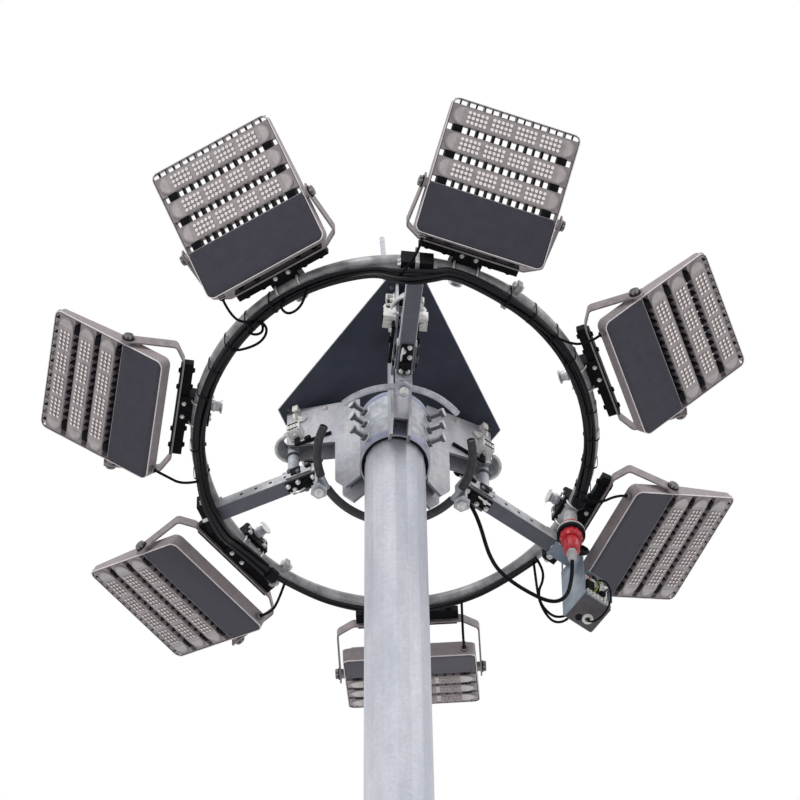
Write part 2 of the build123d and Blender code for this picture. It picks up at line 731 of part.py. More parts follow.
def ring_clamps():
    cradle = Torus(RING_RADIUS, TUBE_R + SEAT_GAP)
    low = BAR_Z - BAR_HIGH / 2
    bar = block(BAR_OUTER_R - BAR_DEEP, BAR_OUTER_R, -BAR_HALF, BAR_HALF, low, low + BAR_HIGH)
    half = CLAMP_HALF
    saddle = block(CLAMP_INNER_R, BAR_OUTER_R - 1, -half, half, CLAMP_LOW, CLAMP_TOP) - cradle
    leg = TUBE_R + U_BOLT_PLAY + U_BOLT_ROD / 2
    for side in (-1, 1):
        for x in (RING_RADIUS - leg, RING_RADIUS + leg):
            y = side * U_BOLT_OFFSET
            saddle -= rod(U_BOLT_ROD / 2 + HOLE_PLAY, (x, y, 0), (x, y, CLAMP_TOP + 1))
    whole = bar + saddle
    return as_solids([placed(azimuth, whole) for azimuth in LIGHT_AZIMUTHS])


def u_bolts():
    leg = TUBE_R + U_BOLT_PLAY + U_BOLT_ROD / 2
    bend = revolve(Pos(leg, 0, 0) * Circle(U_BOLT_ROD / 2), Axis.Y, 180)
    bolts = []
    for azimuth in LIGHT_AZIMUTHS:
        for side in (-1, 1):
            y = side * U_BOLT_OFFSET
            bolt = bend
            for x in (-leg, leg):
                bolt += rod(U_BOLT_ROD / 2, (x, 0, 0), (x, 0, U_BOLT_TOP))
                nut = 2 * U_BOLT_ROD
                z = CLAMP_TOP + SEAT_GAP
                bolt += hexagon_bar(nut, (x, 0, z), (x, 0, z + U_BOLT_ROD))
            bolts.append(placed(azimuth, Pos(RING_RADIUS, y, 0) * bolt))
    return as_solids(bolts)


def spigots():
    neck = SPIGOT_R + SPIGOT_FLARE_LENGTH
    profile = make_face(Polyline(
        (SPIGOT_R, SPIGOT_MOUTH / 2, 0),
        (SPIGOT_R, SPIGOT_FLARE / 2, 0),
        (neck, SPIGOT_DIAMETER / 2, 0),
        (CLAMP_INNER_R, SPIGOT_DIAMETER / 2, 0),
        (CLAMP_INNER_R, SPIGOT_BORE / 2, 0),
        (neck, SPIGOT_BORE / 2, 0),
        close=True,
    ))
    tube = Pos(0, 0, SPIGOT_Z) * revolve(profile, Axis.X)
    return as_solids([placed(azimuth, tube) for azimuth in LIGHT_AZIMUTHS])


# Floodlight: drawn level with its pivot axis along Y through the origin, outer edge towards +X
def rows():
    """Inner and outer X of each vent row and of each lens strip."""
    vents = []
    lenses = []
    x = LIGHT_OUTER
    vents.append((x - OUTER_VENT, x - VENT_RIM))
    x -= OUTER_VENT
    for i in range(3):
        lenses.append((x - MODULE, x))
        x -= MODULE
        vents.append((x - VENT, x))
        x -= VENT
    return vents, lenses


def tilted(number, shape):
    """Set a floodlight's shape at its tilt in its yoke."""
    lifted = Pos(PIVOT_R, 0, PIVOT_Z) * Rot(0, -LIGHT_TILTS[number], 0) * shape
    return placed(LIGHT_AZIMUTHS[number], lifted)


def lens_strip(x0, x1, z0, z1, play):
    width = x1 - x0 - 2 * VENT_RIM + 2 * play
    length = LIGHT_WIDTH - 2 * LENS_SIDE + 2 * play
    strip = SlotOverall(length, width, rotation=90)
    return Pos((x0 + x1) / 2, 0, z0) * extrude(strip, z1 - z0)


def openings(side, count):
    """Both ends in Y of each opening in a vent row, between ribs of one width."""
    span = LIGHT_WIDTH - 2 * side
    pitch = (span + VENT_RIB) / count
    starts = [-span / 2 + i * pitch for i in range(count)]
    return [(y, y + pitch - VENT_RIB) for y in starts]


def light_housing():
    length = LIGHT_OUTER + LIGHT_INNER
    middle = (LIGHT_OUTER - LIGHT_INNER) / 2
    outline = Pos(middle, 0) * RectangleRounded(length, LIGHT_WIDTH, LIGHT_CORNER)
    flank = make_face(Polyline(
        (-LIGHT_INNER, 0, -LIGHT_FACE),
        (LIGHT_OUTER, 0, -LIGHT_FACE),
        (LIGHT_OUTER, 0, LIGHT_OUTER_BACK),
        (LIGHT_BREAK, 0, LIGHT_BACK),
        (-LIGHT_INNER, 0, LIGHT_BACK),
        close=True,
    ))
    body = Pos(0, 0, -LIGHT_FACE) * extrude(outline, LIGHT_FACE + LIGHT_BACK)
    body &= extrude(flank, LIGHT_WIDTH, both=True)
    vents, lenses = rows()
    side = LIGHT_WIDTH / 2
    end = side - END_OPENING_SIDE
    for number, (x0, x1) in enumerate(vents):
        if number == 0:
            spans = openings(OUTER_SIDE, OUTER_OPENINGS)
        else:
            spans = openings(VENT_SIDE, VENT_OPENINGS)
            spans += [(-end, END_OPENING - end), (end - END_OPENING, end)]
        for y0, y1 in spans:
            body -= block(x0, x1, y0, y1, -LIGHT_FACE - 1, LIGHT_BACK + 1)
    for x0, x1 in lenses:
        body -= lens_strip(x0, x1, -LIGHT_FACE - 1, -LIGHT_FACE + LENS_DEEP, LENS_PLAY)
    inner_vent = vents[-1][0]
    cover = block(
        -LIGHT_INNER + LIGHT_CORNER, inner_vent - VENT_RIM, -LIGHT_WIDTH / 2 + LIGHT_CORNER,
        LIGHT_WIDTH / 2 - LIGHT_CORNER, LIGHT_BACK - 1, LIGHT_BACK + DRIVER_RISE,
    )
    body += chamfer(cover.faces().sort_by(Axis.Z)[-1].edges(), DRIVER_RISE / 2)
    for way in (-1, 1):
        seat = way * (side + PIVOT_BOSS_LENGTH)
        outside = way * (YOKE_ARM_Y + YOKE_THICK + SIDE_PLAY)
        washer = outside + way * WASHER_THICK
        head = washer + way * PIVOT_HEAD_LENGTH
        body += rod(PIVOT_BOSS / 2, (0, way * (side - PIVOT_BOSS_SINK), 0), (0, seat, 0))
        body += rod(PIVOT_PIN / 2, (0, seat, 0), (0, outside, 0))
        body += rod(WASHER_DIAMETER / 2, (0, outside, 0), (0, washer, 0))
        body += hexagon_bar(PIVOT_HEAD, (0, washer, 0), (0, head, 0))
    start = (-LIGHT_INNER + 1, GLAND_Y, GLAND_Z)
    return body + rod(GLAND_DIAMETER / 2, start, (-LIGHT_INNER - GLAND_LENGTH, GLAND_Y, GLAND_Z))


def light_lenses():
    vents, lenses = rows()
    z0 = -LIGHT_FACE - LENS_PROUD
    return as_solids([lens_strip(x0, x1, z0, -LIGHT_FACE + LENS_DEEP, 0) for x0, x1 in lenses])


# Electrical pieces
BEND_SHARE = 0.45


def tube_along(points, diameter, name):
    """A round tube along straight runs joined by tangent arcs, with each arc as large as fits."""
    corners = [Vector(*point) for point in points]
    radii = []
    for before, at, after in zip(corners, corners[1:], corners[2:]):
        first = at - before
        second = after - at
        half_turn = radians(first.get_angle(second)) / 2
        radii.append(BEND_SHARE * min(first.length, second.length) / tan(half_turn))
    print(name, "smallest bend radius", round(min(radii)), "of diameter", diameter)
    path = FilletPolyline(*corners, radius=radii)
    start = Plane(origin=path @ 0, z_dir=path % 0)
    return sweep(start * Circle(diameter / 2), path)


CABLE_TOP = -(TUBE_R + U_BOLT_PLAY + U_BOLT_ROD) - SEAT_GAP
BUNDLE_Z = CABLE_TOP - BUNDLE_DIAMETER / 2
THIN_Z = CABLE_TOP - THIN_SINK - THIN_RUN / 2


def polar(azimuth, r, z):
    return (r * cos(radians(azimuth)), r * sin(radians(azimuth)), RING_Z + z)


def bundle_drop(azimuth):
    """How far the cable bundle lies below its usual height, where it passes under an arm."""
    drop = 0.0
    for name in ("left", "near"):
        away = abs((azimuth - ARM_AZIMUTHS[name] + 180) % 360 - 180)
        part = (DIP_HALF_WIDE - away) / (DIP_HALF_WIDE - DIP_HALF_FLAT)
        drop = max(drop, BUNDLE_DIP * min(1.0, part))
    return drop


def bundle_points():
    """The cable bundle's route: round under the ring, with a dip below each arm it passes."""
    marks = [BUNDLE_START]
    for name in ("left", "near"):
        middle = ARM_AZIMUTHS[name] % 360
        marks += [middle - DIP_HALF_WIDE, middle + DIP_HALF_WIDE]
    marks.append(BUNDLE_END)
    azimuths = []
    for i in range(0, len(marks), 2):
        span = marks[i + 1] - marks[i]
        count = round(span / BUNDLE_PITCH)
        azimuths += [marks[i] + span * k / count for k in range(count + 1)]
        if i + 2 < len(marks):
            middle = (marks[i + 1] + marks[i + 2]) / 2
            azimuths += [middle - DIP_HALF_FLAT, middle + DIP_HALF_FLAT]
    return [polar(azimuth, RING_RADIUS, BUNDLE_Z - bundle_drop(azimuth)) for azimuth in azimuths]


def thin_points():
    """The few cables that go on round the far side of the ring, from the bundle's end."""
    last = BUNDLE_START + degrees(BUNDLE_DIAMETER / RING_RADIUS)
    count = round((last - THIN_START) / BUNDLE_PITCH)
    azimuths = [THIN_START + (last - THIN_START) * k / count for k in range(count + 1)]
    return [polar(azimuth, RING_RADIUS, THIN_Z) for azimuth in azimuths]


def cable_bundle():
    thick = tube_along(bundle_points(), BUNDLE_DIAMETER, "cable bundle")
    return thick + tube_along(thin_points(), THIN_RUN, "thin cable run")


def cable_level(azimuth):
    """The height of the cables' middle under the ring."""
    if azimuth % 360 > BUNDLE_START or azimuth % 360 < BUNDLE_END - 360:
        return BUNDLE_Z - bundle_drop(azimuth)
    return THIN_Z


def lamp_lead(number):
    """One floodlight's lead, from clear of the gland's swing back to the bundle."""
    tilt = radians(LIGHT_TILTS[number])
    azimuth = LIGHT_AZIMUTHS[number]
    turn = radians(LEAD_TURNS[number])
    swing = LIGHT_INNER + GLAND_LENGTH + LEAD_DIAMETER
    x = PIVOT_R - swing * cos(tilt) - GLAND_Z * sin(tilt)
    z = PIVOT_Z - swing * sin(tilt) + GLAND_Z * cos(tilt)
    end_x = RING_RADIUS * cos(turn)
    end_y = -RING_RADIUS * sin(turn)
    end_z = cable_level(azimuth - LEAD_TURNS[number])
    out_x = x - LEAD_OUT * cos(tilt)
    out_z = z - LEAD_OUT * sin(tilt)
    low = min(out_z, end_z) - LEAD_SAG
    route = (
        (x, GLAND_Y, z),
        (out_x, GLAND_Y, out_z),
        ((out_x + end_x) / 2, (GLAND_Y + end_y) / 2, low),
        (end_x, end_y, end_z),
    )
    points = []
    for place in route:
        point = Vector(*place).rotate(Axis.Z, azimuth)
        points.append((point.X, point.Y, RING_Z + point.Z))
    return tube_along(points, LEAD_DIAMETER, "lamp lead")


# Slack loops of the leads that hang from the bundle, in world X and Y and from the ring's plane
SLACK_LOOPS = (
    (
        (-253.3, -532.9, BUNDLE_Z),
        (-261.1, -515.7, -88.0),
        (-280.3, -495.9, -116.0),
        (-310.5, -485.0, -126.0),
        (-330.6, -493.9, -108.0),
        (-331.1, -502.2, -80.0),
        (-325.2, -492.3, BUNDLE_Z),
    ),
    (
        (-405.2, -428.9, BUNDLE_Z),
        (-377.8, -423.8, -72.0),
        (-374.1, -407.1, -100.0),
        (-396.3, -384.9, -118.0),
        (-435.7, -359.4, -104.0),
        (-467.5, -337.6, -76.0),
        (-493.3, -323.7, BUNDLE_Z),
    ),
    (
        (-438.1, -395.1, BUNDLE_Z),
        (-422.0, -389.2, -78.0),
        (-384.5, -405.9, -94.0),
        (-388.5, -437.3, -74.0),
        (-418.5, -415.9, BUNDLE_Z),
    ),
)


def slack_loops():
    loops = []
    for route in SLACK_LOOPS:
        points = [(x, y, RING_Z + z) for x, y, z in route]
        loops.append(tube_along(points, LEAD_DIAMETER, "slack loop"))
    return loops


def lamp_leads():
    leads = [lamp_lead(number) for number in range(len(LIGHT_AZIMUTHS))]
    return as_solids(leads + slack_loops())


SUPPLY_POINTS = (
    (213.0, 160.0, -112.0),
    (232.0, 172.0, -150.0),
    (247.0, 185.0, -200.0),
    (258.0, 190.0, -262.0),
    (267.0, 195.0, -324.0),
    (279.0, 201.0, -384.0),
    (300.0, 208.0, -442.0),
    (345.0, 223.0, -486.0),
    (400.0, 237.0, -518.0),
    (444.0, 246.0, -540.0),
    (481.0, 255.0, -538.0),
    (510.0, 262.0, -517.0),
    (526.0, 267.0, -484.0),
    (526.0, 269.0, -420.0),
    (524.8, 269.7, -340.0),
    (524.8, 269.7, COUPLER_BOTTOM),
)


def supply_cable():
    points = [(x, y, RING_Z + z) for x, y, z in SUPPLY_POINTS]
    return tube_along(points, SUPPLY_DIAMETER, "supply cable")


def power_coupler():
    """An industrial plug and connector pair that hangs under the ring with its cable below."""
    top = -TUBE_R - SEAT_GAP
    z = COUPLER_BOTTOM
    outline = [(0, 0, z)]
    for radius, height in zip(COUPLER_RADII, (*COUPLER_STEPS, top - COUPLER_BOTTOM)):
        outline.append((radius, 0, z))
        z = COUPLER_BOTTOM + height
        outline.append((radius, 0, z))
    outline.append((0, 0, top))
    body = Pos(COUPLER_R, 0, 0) * revolve(make_face(Polyline(*outline, close=True)), Axis.Z)
    return placed(COUPLER_AZIMUTH, body)


def junction_box():
    x0 = BOX_R - BOX_RADIAL / 2
    x1 = BOX_R + BOX_RADIAL / 2
    half = BOX_WIDTH / 2
    body = block(x0, x1, -half, half, BOX_BOTTOM, BOX_TOP)
    body = fillet(body.edges().filter_by(Axis.Z), BOX_CORNER)
    low = BOX_BOTTOM + BOX_WALL
    inside = half - BOX_WALL
    body -= block(x0 + BOX_WALL, x1 - BOX_WALL, -half - 1, inside, low, BOX_TOP - BOX_WALL)
    return placed(BOX_AZIMUTH, body)


def box_bracket():
    x0 = BOX_R - BOX_RADIAL / 2
    half = BOX_WIDTH / 2
    back = block(x0 - PLATE_THICK, x0, -half, half, BOX_BOTTOM, ARM_BOTTOM)
    shelf = block(ARM_END, x0, -ARM_SIDE / 2, ARM_SIDE / 2, ARM_BOTTOM - PLATE_THICK, ARM_BOTTOM)
    return placed(BOX_AZIMUTH, back + shelf)


# The feeders' routes, along the box's own +X from the mast and +Y along the ring
FEEDER_ROUTES = (
    (
        (583.6, 86.8, THIN_Z - 4.0),
        (587.0, 86.0, -105.0),
        (592.0, 86.0, -190.0),
        (604.0, 92.0, -250.0),
        (640.0, 104.0, -282.0),
        (684.0, 118.0, -262.0),
        (716.0, 100.0, -238.0),
        (716.0, BOX_WIDTH / 2, -238.0),
    ),
    (
        (585.6, 72.6, THIN_Z - 4.0),
        (604.0, 68.0, -92.0),
        (607.0, 74.0, -150.0),
        (598.0, 88.0, -200.0),
        (612.0, 97.0, -246.0),
        (650.0, 106.0, -256.0),
        (690.0, 116.0, -226.0),
        (720.0, 98.0, -206.0),
        (720.0, BOX_WIDTH / 2, -206.0),
    ),
)


def feeder_cables():
    """Two short loops from the bundle's end down and round into the back of the junction box."""
    feeders = []
    for route in FEEDER_ROUTES:
        feeder = tube_along(route, LEAD_DIAMETER, "feeder cable")
        feeders.append(placed(BOX_AZIMUTH, feeder))
    return as_solids(feeders)


def build():
    nodes = {
        "base_flange": base_flange(),
        "base_gussets": base_gussets(),
        "shaft_bottom": bottom_section(),
        "shaft_middle": shaft_section(1),
        "shaft_top": shaft_section(2),
        "door_frame": door_frame(),
        "service_door": service_door(),
        "head_sleeve": head_sleeve(),
        "sleeve_lining": sleeve_lining(),
        "set_screws": set_screws(),
        "head_brackets": head_brackets(),
        "bracket_webs": bracket_webs(),
        "rope_sheaves": rope_sheaves(),
        "sheave_pins": sheave_pins(),
        "dock_horns": dock_horns(),
        "latch_blocks": latch_blocks(),
        "rain_hood": rain_hood(),
        "lightning_rod": lightning_rod(),
        "ring_half_far": ring_half(SPLICE_AZIMUTH),
        "ring_half_near": ring_half(SPLICE_AZIMUTH + 180),
        "splice_bolts": splice_bolts(),
        "arm_saddles": arm_saddles(),
        "dock_posts": dock_posts(),
        "guide_brackets": guide_brackets(),
        "guide_arcs": guide_arcs(),
        "guide_hoses": guide_hoses(),
        "ring_clamps": ring_clamps(),
        "u_bolts": u_bolts(),
        "cable_spigots": spigots(),
        "cable_bundle": cable_bundle(),
        "lamp_leads": lamp_leads(),
        "supply_cable": supply_cable(),
        "feeder_cables": feeder_cables(),
        "power_coupler": power_coupler(),
        "junction_box": junction_box(),
        "box_bracket": box_bracket(),
    }
    for name, azimuth in ARM_AZIMUTHS.items():
        nodes["arm_" + name] = arm(azimuth)
    housing = light_housing()
    lenses = light_lenses()
    for number, azimuth in enumerate(LIGHT_AZIMUTHS):
        label = str(number + 1)
        nodes["yoke_" + label] = yoke(azimuth)
        nodes["light_housing_" + label] = tilted(number, housing)
        nodes["light_lenses_" + label] = tilted(number, lenses)
    return nodes


os.makedirs("parts", exist_ok=True)
for node_name, shape in build().items():
    export_step(shape, "parts/" + node_name + ".step")
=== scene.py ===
import json
from math import atan2, cos, degrees, exp, pi, radians, sin

import bpy
from mathutils import Matrix, Vector


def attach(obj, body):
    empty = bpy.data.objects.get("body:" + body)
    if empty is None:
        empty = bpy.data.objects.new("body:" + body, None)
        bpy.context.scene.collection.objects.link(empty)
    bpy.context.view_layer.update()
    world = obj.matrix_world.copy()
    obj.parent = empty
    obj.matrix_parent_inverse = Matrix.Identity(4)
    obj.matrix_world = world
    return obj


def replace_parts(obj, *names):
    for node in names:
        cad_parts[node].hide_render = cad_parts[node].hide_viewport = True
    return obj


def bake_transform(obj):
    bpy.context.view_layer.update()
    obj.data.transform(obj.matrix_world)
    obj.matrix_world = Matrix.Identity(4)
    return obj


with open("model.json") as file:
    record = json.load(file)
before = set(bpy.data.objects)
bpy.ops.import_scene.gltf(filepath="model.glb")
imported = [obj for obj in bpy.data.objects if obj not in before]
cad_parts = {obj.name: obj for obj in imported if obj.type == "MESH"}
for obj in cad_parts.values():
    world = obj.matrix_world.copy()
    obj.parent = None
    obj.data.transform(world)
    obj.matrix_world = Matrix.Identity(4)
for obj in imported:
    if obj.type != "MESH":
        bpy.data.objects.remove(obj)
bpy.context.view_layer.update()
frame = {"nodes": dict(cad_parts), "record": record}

# Millimetres throughout, turned into metres when a piece is made. +Z is up, the camera stands at -Y.
# Radii are from the mast's axis, and heights on the crown and the head are from the ring's plane.
MM = 0.001
RING_Z = 24750.0
RING_R = 590.0
PIVOT_R = 829.0
PIVOT_Z = 12.0
AZIMUTHS = (-121.0, -69.2, -18.3, 28.0, 87.2, 138.8, -171.6)
TILTS = (36.2, 33.2, 39.3, 34.5, 38.8, 32.4, 38.7)
LEAD_TURNS = (13.6, 19.2, 20.3, 7.7, 16.6, 14.0, 20.0)
ARMS = {"near": -83.2, "right": 36.8, "left": 156.8}
ARM_FLANK = 25.1
ARM_PLATE_FACE = 30.1
ARM_UNDER = -71.3
ARM_TOP = -15.2
POST_R = 332.0
CHEEK_FACE = 31.1
STRAP_FACE = 36.5
LATCH_R = 303.0
SHADOW_ROD_Y = 36.0
HOOD_BASE = 322.0
BOX_AZIMUTH = 37.0
BOX_FRONT = -51.5

# A floodlight's outline in its own frame, the vent rows and the lens strips from outer to inner
HALF_WIDTH = 201.0
LIGHT_INNER = -147.0
LIGHT_OUTER = 269.0
LIGHT_CORNER = 22.0
FACE = -14.0
LENS_FACE = -17.0
VENTS = ((251.0, 265.0), (170.0, 191.0), (89.0, 110.0), (8.0, 29.0))
STRIPS = ((191.0, 251.0), (110.0, 170.0), (29.0, 89.0))
GLAND_Y = -168.0
GLAND_Z = 6.0

# Cables under the ring
BUNDLE_Z = -48.9
THIN_Z = -41.9
BUNDLE_START = 128.0
BUNDLE_END = 382.5
BUNDLE_STEP = 14.0
DIP = 46.0
LEAD_DIAMETER = 8.0


def at_azimuth(azimuth, level=RING_Z):
    return Matrix.Translation((0, 0, level)) @ Matrix.Rotation(radians(azimuth), 4, "Z")


def at_light(i):
    """The frame of a floodlight: +X to its outer edge, +Y along its pivot, +Z to its back."""
    tilted = Matrix.Translation((PIVOT_R, 0, PIVOT_Z)) @ Matrix.Rotation(-radians(TILTS[i]), 4, "Y")
    return at_azimuth(AZIMUTHS[i]) @ tilted


# Forms
class Form:
    """Faces collected in millimetres, in a local frame, that become one piece."""

    def __init__(self, at=None):
        self.at = at or Matrix()
        self.verts = []
        self.faces = []

    def add(self, verts, faces):
        first = len(self.verts)
        self.verts += [self.at @ Vector(v) for v in verts]
        self.faces += [[first + i for i in face] for face in faces]

    def loft(self, rings, closed=False, caps=True):
        """Quads between rings of the same count of points."""
        n = len(rings[0])
        faces = []
        for k in range(len(rings) if closed else len(rings) - 1):
            a, b = k * n, (k + 1) % len(rings) * n
            faces += [[a + i, a + (i + 1) % n, b + (i + 1) % n, b + i] for i in range(n)]
        if caps and not closed:
            last = (len(rings) - 1) * n
            faces += [list(range(n))[::-1], [last + i for i in range(n)]]
        self.add([p for ring in rings for p in ring], faces)

    def block(self, x0, x1, y0, y1, z0, z1, edge=1.0):
        """A box with every edge broken."""
        rings = []
        for z, inset in ((z0, edge), (z0 + edge, 0), (z1 - edge, 0), (z1, edge)):
            a, b, c, d = x0 + inset, x1 - inset, y0 + inset, y1 - inset
            rings.append([
                (a + edge, c, z), (b - edge, c, z), (b, c + edge, z), (b, d - edge, z),
                (b - edge, d, z), (a + edge, d, z), (a, d - edge, z), (a, c + edge, z),
            ])
        self.loft(rings)

    def turned(self, profile, origin, along, count=20, caps=True):
        """A profile of (radius, distance) pairs turned about a line."""
        rest = Vector(along).to_track_quat("Z", "Y").to_matrix().to_4x4()
        place = Matrix.Translation(origin) @ rest
        turns = [2 * pi * i / count for i in range(count)]
        rings = []
        for radius, level in profile:
            rings.append([place @ Vector((radius * cos(t), radius * sin(t), level)) for t in turns])
        self.loft(rings, caps=caps)

    def bolt(self, origin, along, size, high=None, washer=True):
        """A hexagon head on a washer, with the head's corners broken."""
        high = high or size * 0.4
        low = 0.0
        if washer:
            low = size * 0.12
            rim = ((size * 0.68, 0), (size * 0.7, low * 0.5), (size * 0.68, low))
            self.turned(rim, origin, along, 18)
        r = size / 2 / cos(pi / 6)
        head = ((r, low), (r, low + high * 0.82), (r * 0.86, low + high), (r * 0.3, low + high))
        self.turned(head, origin, along, 6)

    def tube(self, points, radius, count=10):
        """A round bar along a line of points."""
        points = [Vector(p) for p in points]
        turns = [2 * pi * k / count for k in range(count)]
        rings = []
        normal = None
        for i, p in enumerate(points):
            along = points[min(i + 1, len(points) - 1)] - points[max(i - 1, 0)]
            along.normalize()
            if normal is None:
                normal = along.orthogonal().normalized()
            normal = (normal - along * normal.dot(along)).normalized()
            side = along.cross(normal)
            rings.append([p + radius * (cos(t) * normal + sin(t) * side) for t in turns])
        self.loft(rings)

    def strap(self, points, across, width, thick):
        """A flat closed band along a line of points, as wide as given along one direction."""
        points = [Vector(p) for p in points]
        across = Vector(across).normalized()
        rings = []
        for i, p in enumerate(points):
            along = points[(i + 1) % len(points)] - points[i - 1]
            out = along.cross(across).normalized() * thick / 2
            half = across * width / 2
            rings.append([p - half - out, p + half - out, p + half + out, p - half + out])
        self.loft(rings, closed=True)

    def piece(self, name, finish, body, smooth=32):
        mesh = bpy.data.meshes.new(name)
        mesh.from_pydata([v * MM for v in self.verts], [], self.faces)
        mesh.polygons.foreach_set("use_smooth", [True] * len(mesh.polygons))
        mesh.set_sharp_from_angle(angle=radians(smooth))
        mesh.materials.append(finish)
        made = bpy.data.objects.new(name, mesh)
        bpy.context.scene.collection.objects.link(made)
        if body:
            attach(made, body)
        return made


# Finishes
GLOSS_SPREAD = 0.12
SPANGLE_SCALE = 95.0


def linear(value):
    value = value / 255
    return value / 12.92 if value <= 0.04045 else ((value + 0.055) / 1.055) ** 2.4


def colour(rgb):
    return (*(linear(v) for v in rgb), 1.0)


def add_node(nodes, kind, values):
    """A new node with some of its inputs set."""
    made = nodes.new(kind)
    for socket, value in values.items():
        made.inputs[socket].default_value = value
    return made


def mixed(nodes, links, tone, other, share):
    """A tone that turns into another colour by a share from 0 to 1."""
    mix = nodes.new("ShaderNodeMix")
    mix.data_type = "RGBA"
    mix.inputs[7].default_value = colour(other)
    links.new(share, mix.inputs[0])
    links.new(tone, mix.inputs[6])
    return mix.outputs[2]


def surface(name, light, dark, rough=0.5, metallic=0.0, grain=40.0, stretch=(1, 1, 1), bump=0.1,
            spangle=0.0, coat=0.0, wear=None, gleam=0.5, painted_glow=0.0, under=None):
    """A finish whose colour runs between two tones in clouds, with matching gloss and fine bumps.

    Spangle adds zinc crystals, and wear adds patches of a third colour. Sides that face the ground
    may be given a darker tone, which is painted shade.
    """
    finish = bpy.data.materials.new(name)
    finish.use_nodes = True
    nodes = finish.node_tree.nodes
    links = finish.node_tree.links
    shader = nodes["Principled BSDF"]
    shader.inputs["Metallic"].default_value = metallic
    shader.inputs["Coat Weight"].default_value = coat
    shader.inputs["Specular IOR Level"].default_value = gleam
    shader.inputs["Emission Strength"].default_value = painted_glow
    place = nodes.new("ShaderNodeTexCoord")
    scale = add_node(nodes, "ShaderNodeMapping", {"Scale": stretch})
    links.new(place.outputs["Object"], scale.inputs["Vector"])
    cloud = add_node(nodes, "ShaderNodeTexNoise", {"Scale": grain, "Detail": 5.0, "Roughness": 0.62})
    links.new(scale.outputs["Vector"], cloud.inputs["Vector"])
    ramp = nodes.new("ShaderNodeValToRGB")
    ramp.color_ramp.elements[0].position = 0.34
    ramp.color_ramp.elements[1].position = 0.66
    ramp.color_ramp.elements[0].color = colour(dark)
    ramp.color_ramp.elements[1].color = colour(light)
    links.new(cloud.outputs["Fac"], ramp.inputs["Fac"])
    tone = ramp.outputs["Color"]
    if spangle:
        cells = add_node(nodes, "ShaderNodeTexVoronoi", {"Scale": SPANGLE_SCALE})
        links.new(place.outputs["Object"], cells.inputs["Vector"])
        grey = nodes.new("ShaderNodeRGBToBW")
        links.new(cells.outputs["Color"], grey.inputs["Color"])
        swing = add_node(nodes, "ShaderNodeMapRange", {"To Min": 1.0 - spangle, "To Max": 1.0 + spangle})
        links.new(grey.outputs["Val"], swing.inputs["Value"])
        times = nodes.new("ShaderNodeVectorMath")
        times.operation = "SCALE"
        links.new(tone, times.inputs[0])
        links.new(swing.outputs["Result"], times.inputs["Scale"])
        tone = times.outputs["Vector"]
    if wear:
        fine = add_node(nodes, "ShaderNodeTexNoise", {"Scale": 7.0, "Detail": 8.0, "Roughness": 0.7})
        links.new(place.outputs["Object"], fine.inputs["Vector"])
        patch = nodes.new("ShaderNodeValToRGB")
        patch.color_ramp.elements[0].position = 0.56
        patch.color_ramp.elements[1].position = 0.72
        links.new(fine.outputs["Fac"], patch.inputs["Fac"])
        tone = mixed(nodes, links, tone, wear, patch.outputs["Color"])
    # painted shade: faces whose normal points down are mixed towards the under colour
    if under:
        facing = nodes.new("ShaderNodeSeparateXYZ")
        links.new(place.outputs["Normal"], facing.inputs["Vector"])
        shade_share = add_node(nodes, "ShaderNodeMapRange", {"From Min": -0.5, "From Max": -0.85, "To Max": 0.88})
        links.new(facing.outputs["Z"], shade_share.inputs["Value"])
        tone = mixed(nodes, links, tone, under, shade_share.outputs["Result"])
    links.new(tone, shader.inputs["Base Color"])
    # painted light: the finish's own tone glows, on parts that are no lamps
    if painted_glow:
        links.new(tone, shader.inputs["Emission Color"])
    least, most = max(0.05, rough - GLOSS_SPREAD), min(1.0, rough + GLOSS_SPREAD)
    gloss = add_node(nodes, "ShaderNodeMapRange", {"To Min": least, "To Max": most})
    links.new(cloud.outputs["Fac"], gloss.inputs["Value"])
    links.new(gloss.outputs["Result"], shader.inputs["Roughness"])
    relief = add_node(nodes, "ShaderNodeBump", {"Strength": bump, "Distance": 0.001})
    links.new(cloud.outputs["Fac"], relief.inputs["Height"])
    links.new(relief.outputs["Normal"], shader.inputs["Normal"])
    return finish


galvanised = surface("galvanised", (206, 209, 216), (160, 164, 173), 0.48, 0.25, 30, spangle=0.10, bump=0.15)
# zinc of the arms and the head's plates, with painted shade: faces that point down turn dark
arm_zinc_painted_shade = surface(
    "arm_zinc_painted_shade", (208, 209, 213), (166, 168, 174), 0.5, 0.2, 24, spangle=0.08, bump=0.15, under=(58, 61, 75)
)
plate_zinc_painted_shade = surface(
    "plate_zinc_painted_shade", (214, 213, 218), (172, 173, 182), 0.5, 0.2, 11, (1, 1, 0.35), 0.15, 0.10,
    under=(92, 93, 101)
)
shaft_zinc = surface("shaft_zinc", (214, 215, 222), (172, 176, 188), 0.45, 0.3, 5, (1, 1, 0.12), 0.15, 0.08)
ring_zinc = surface("ring_zinc", (186, 184, 186), (136, 136, 141), 0.48, 0.25, 24, spangle=0.08, bump=0.15)
band_zinc = surface("band_zinc", (176, 181, 204), (146, 151, 176), 0.45, 0.3, 26, bump=0.1)
bright_zinc = surface("bright_zinc", (232, 231, 229), (190, 190, 190), 0.34, 0.4, 90, bump=0.05)
dark_bolt = surface("dark_bolt", (112, 112, 116), (66, 66, 71), 0.42, 0.4, 80, bump=0.1, gleam=0.3)
housing_paint = surface("housing_paint", (162, 152, 155), (146, 137, 140), 0.5, 0.1, 60, bump=0.1)
cover_paint = surface("cover_paint", (75, 72, 83), (68, 65, 76), 0.5, 0.0, 30, bump=0.05, gleam=0.2)
yoke_paint = surface("yoke_paint", (156, 145, 147), (124, 115, 119), 0.5, 0.15, 40, bump=0.1)
module_grey = surface("module_grey", (174, 165, 167), (154, 146, 149), 0.5, 0.0, 70, bump=0.1)
lens_grey = surface("lens_grey", (190, 181, 182), (168, 159, 161), 0.24, 0.0, 45, bump=0.05, coat=0.3)
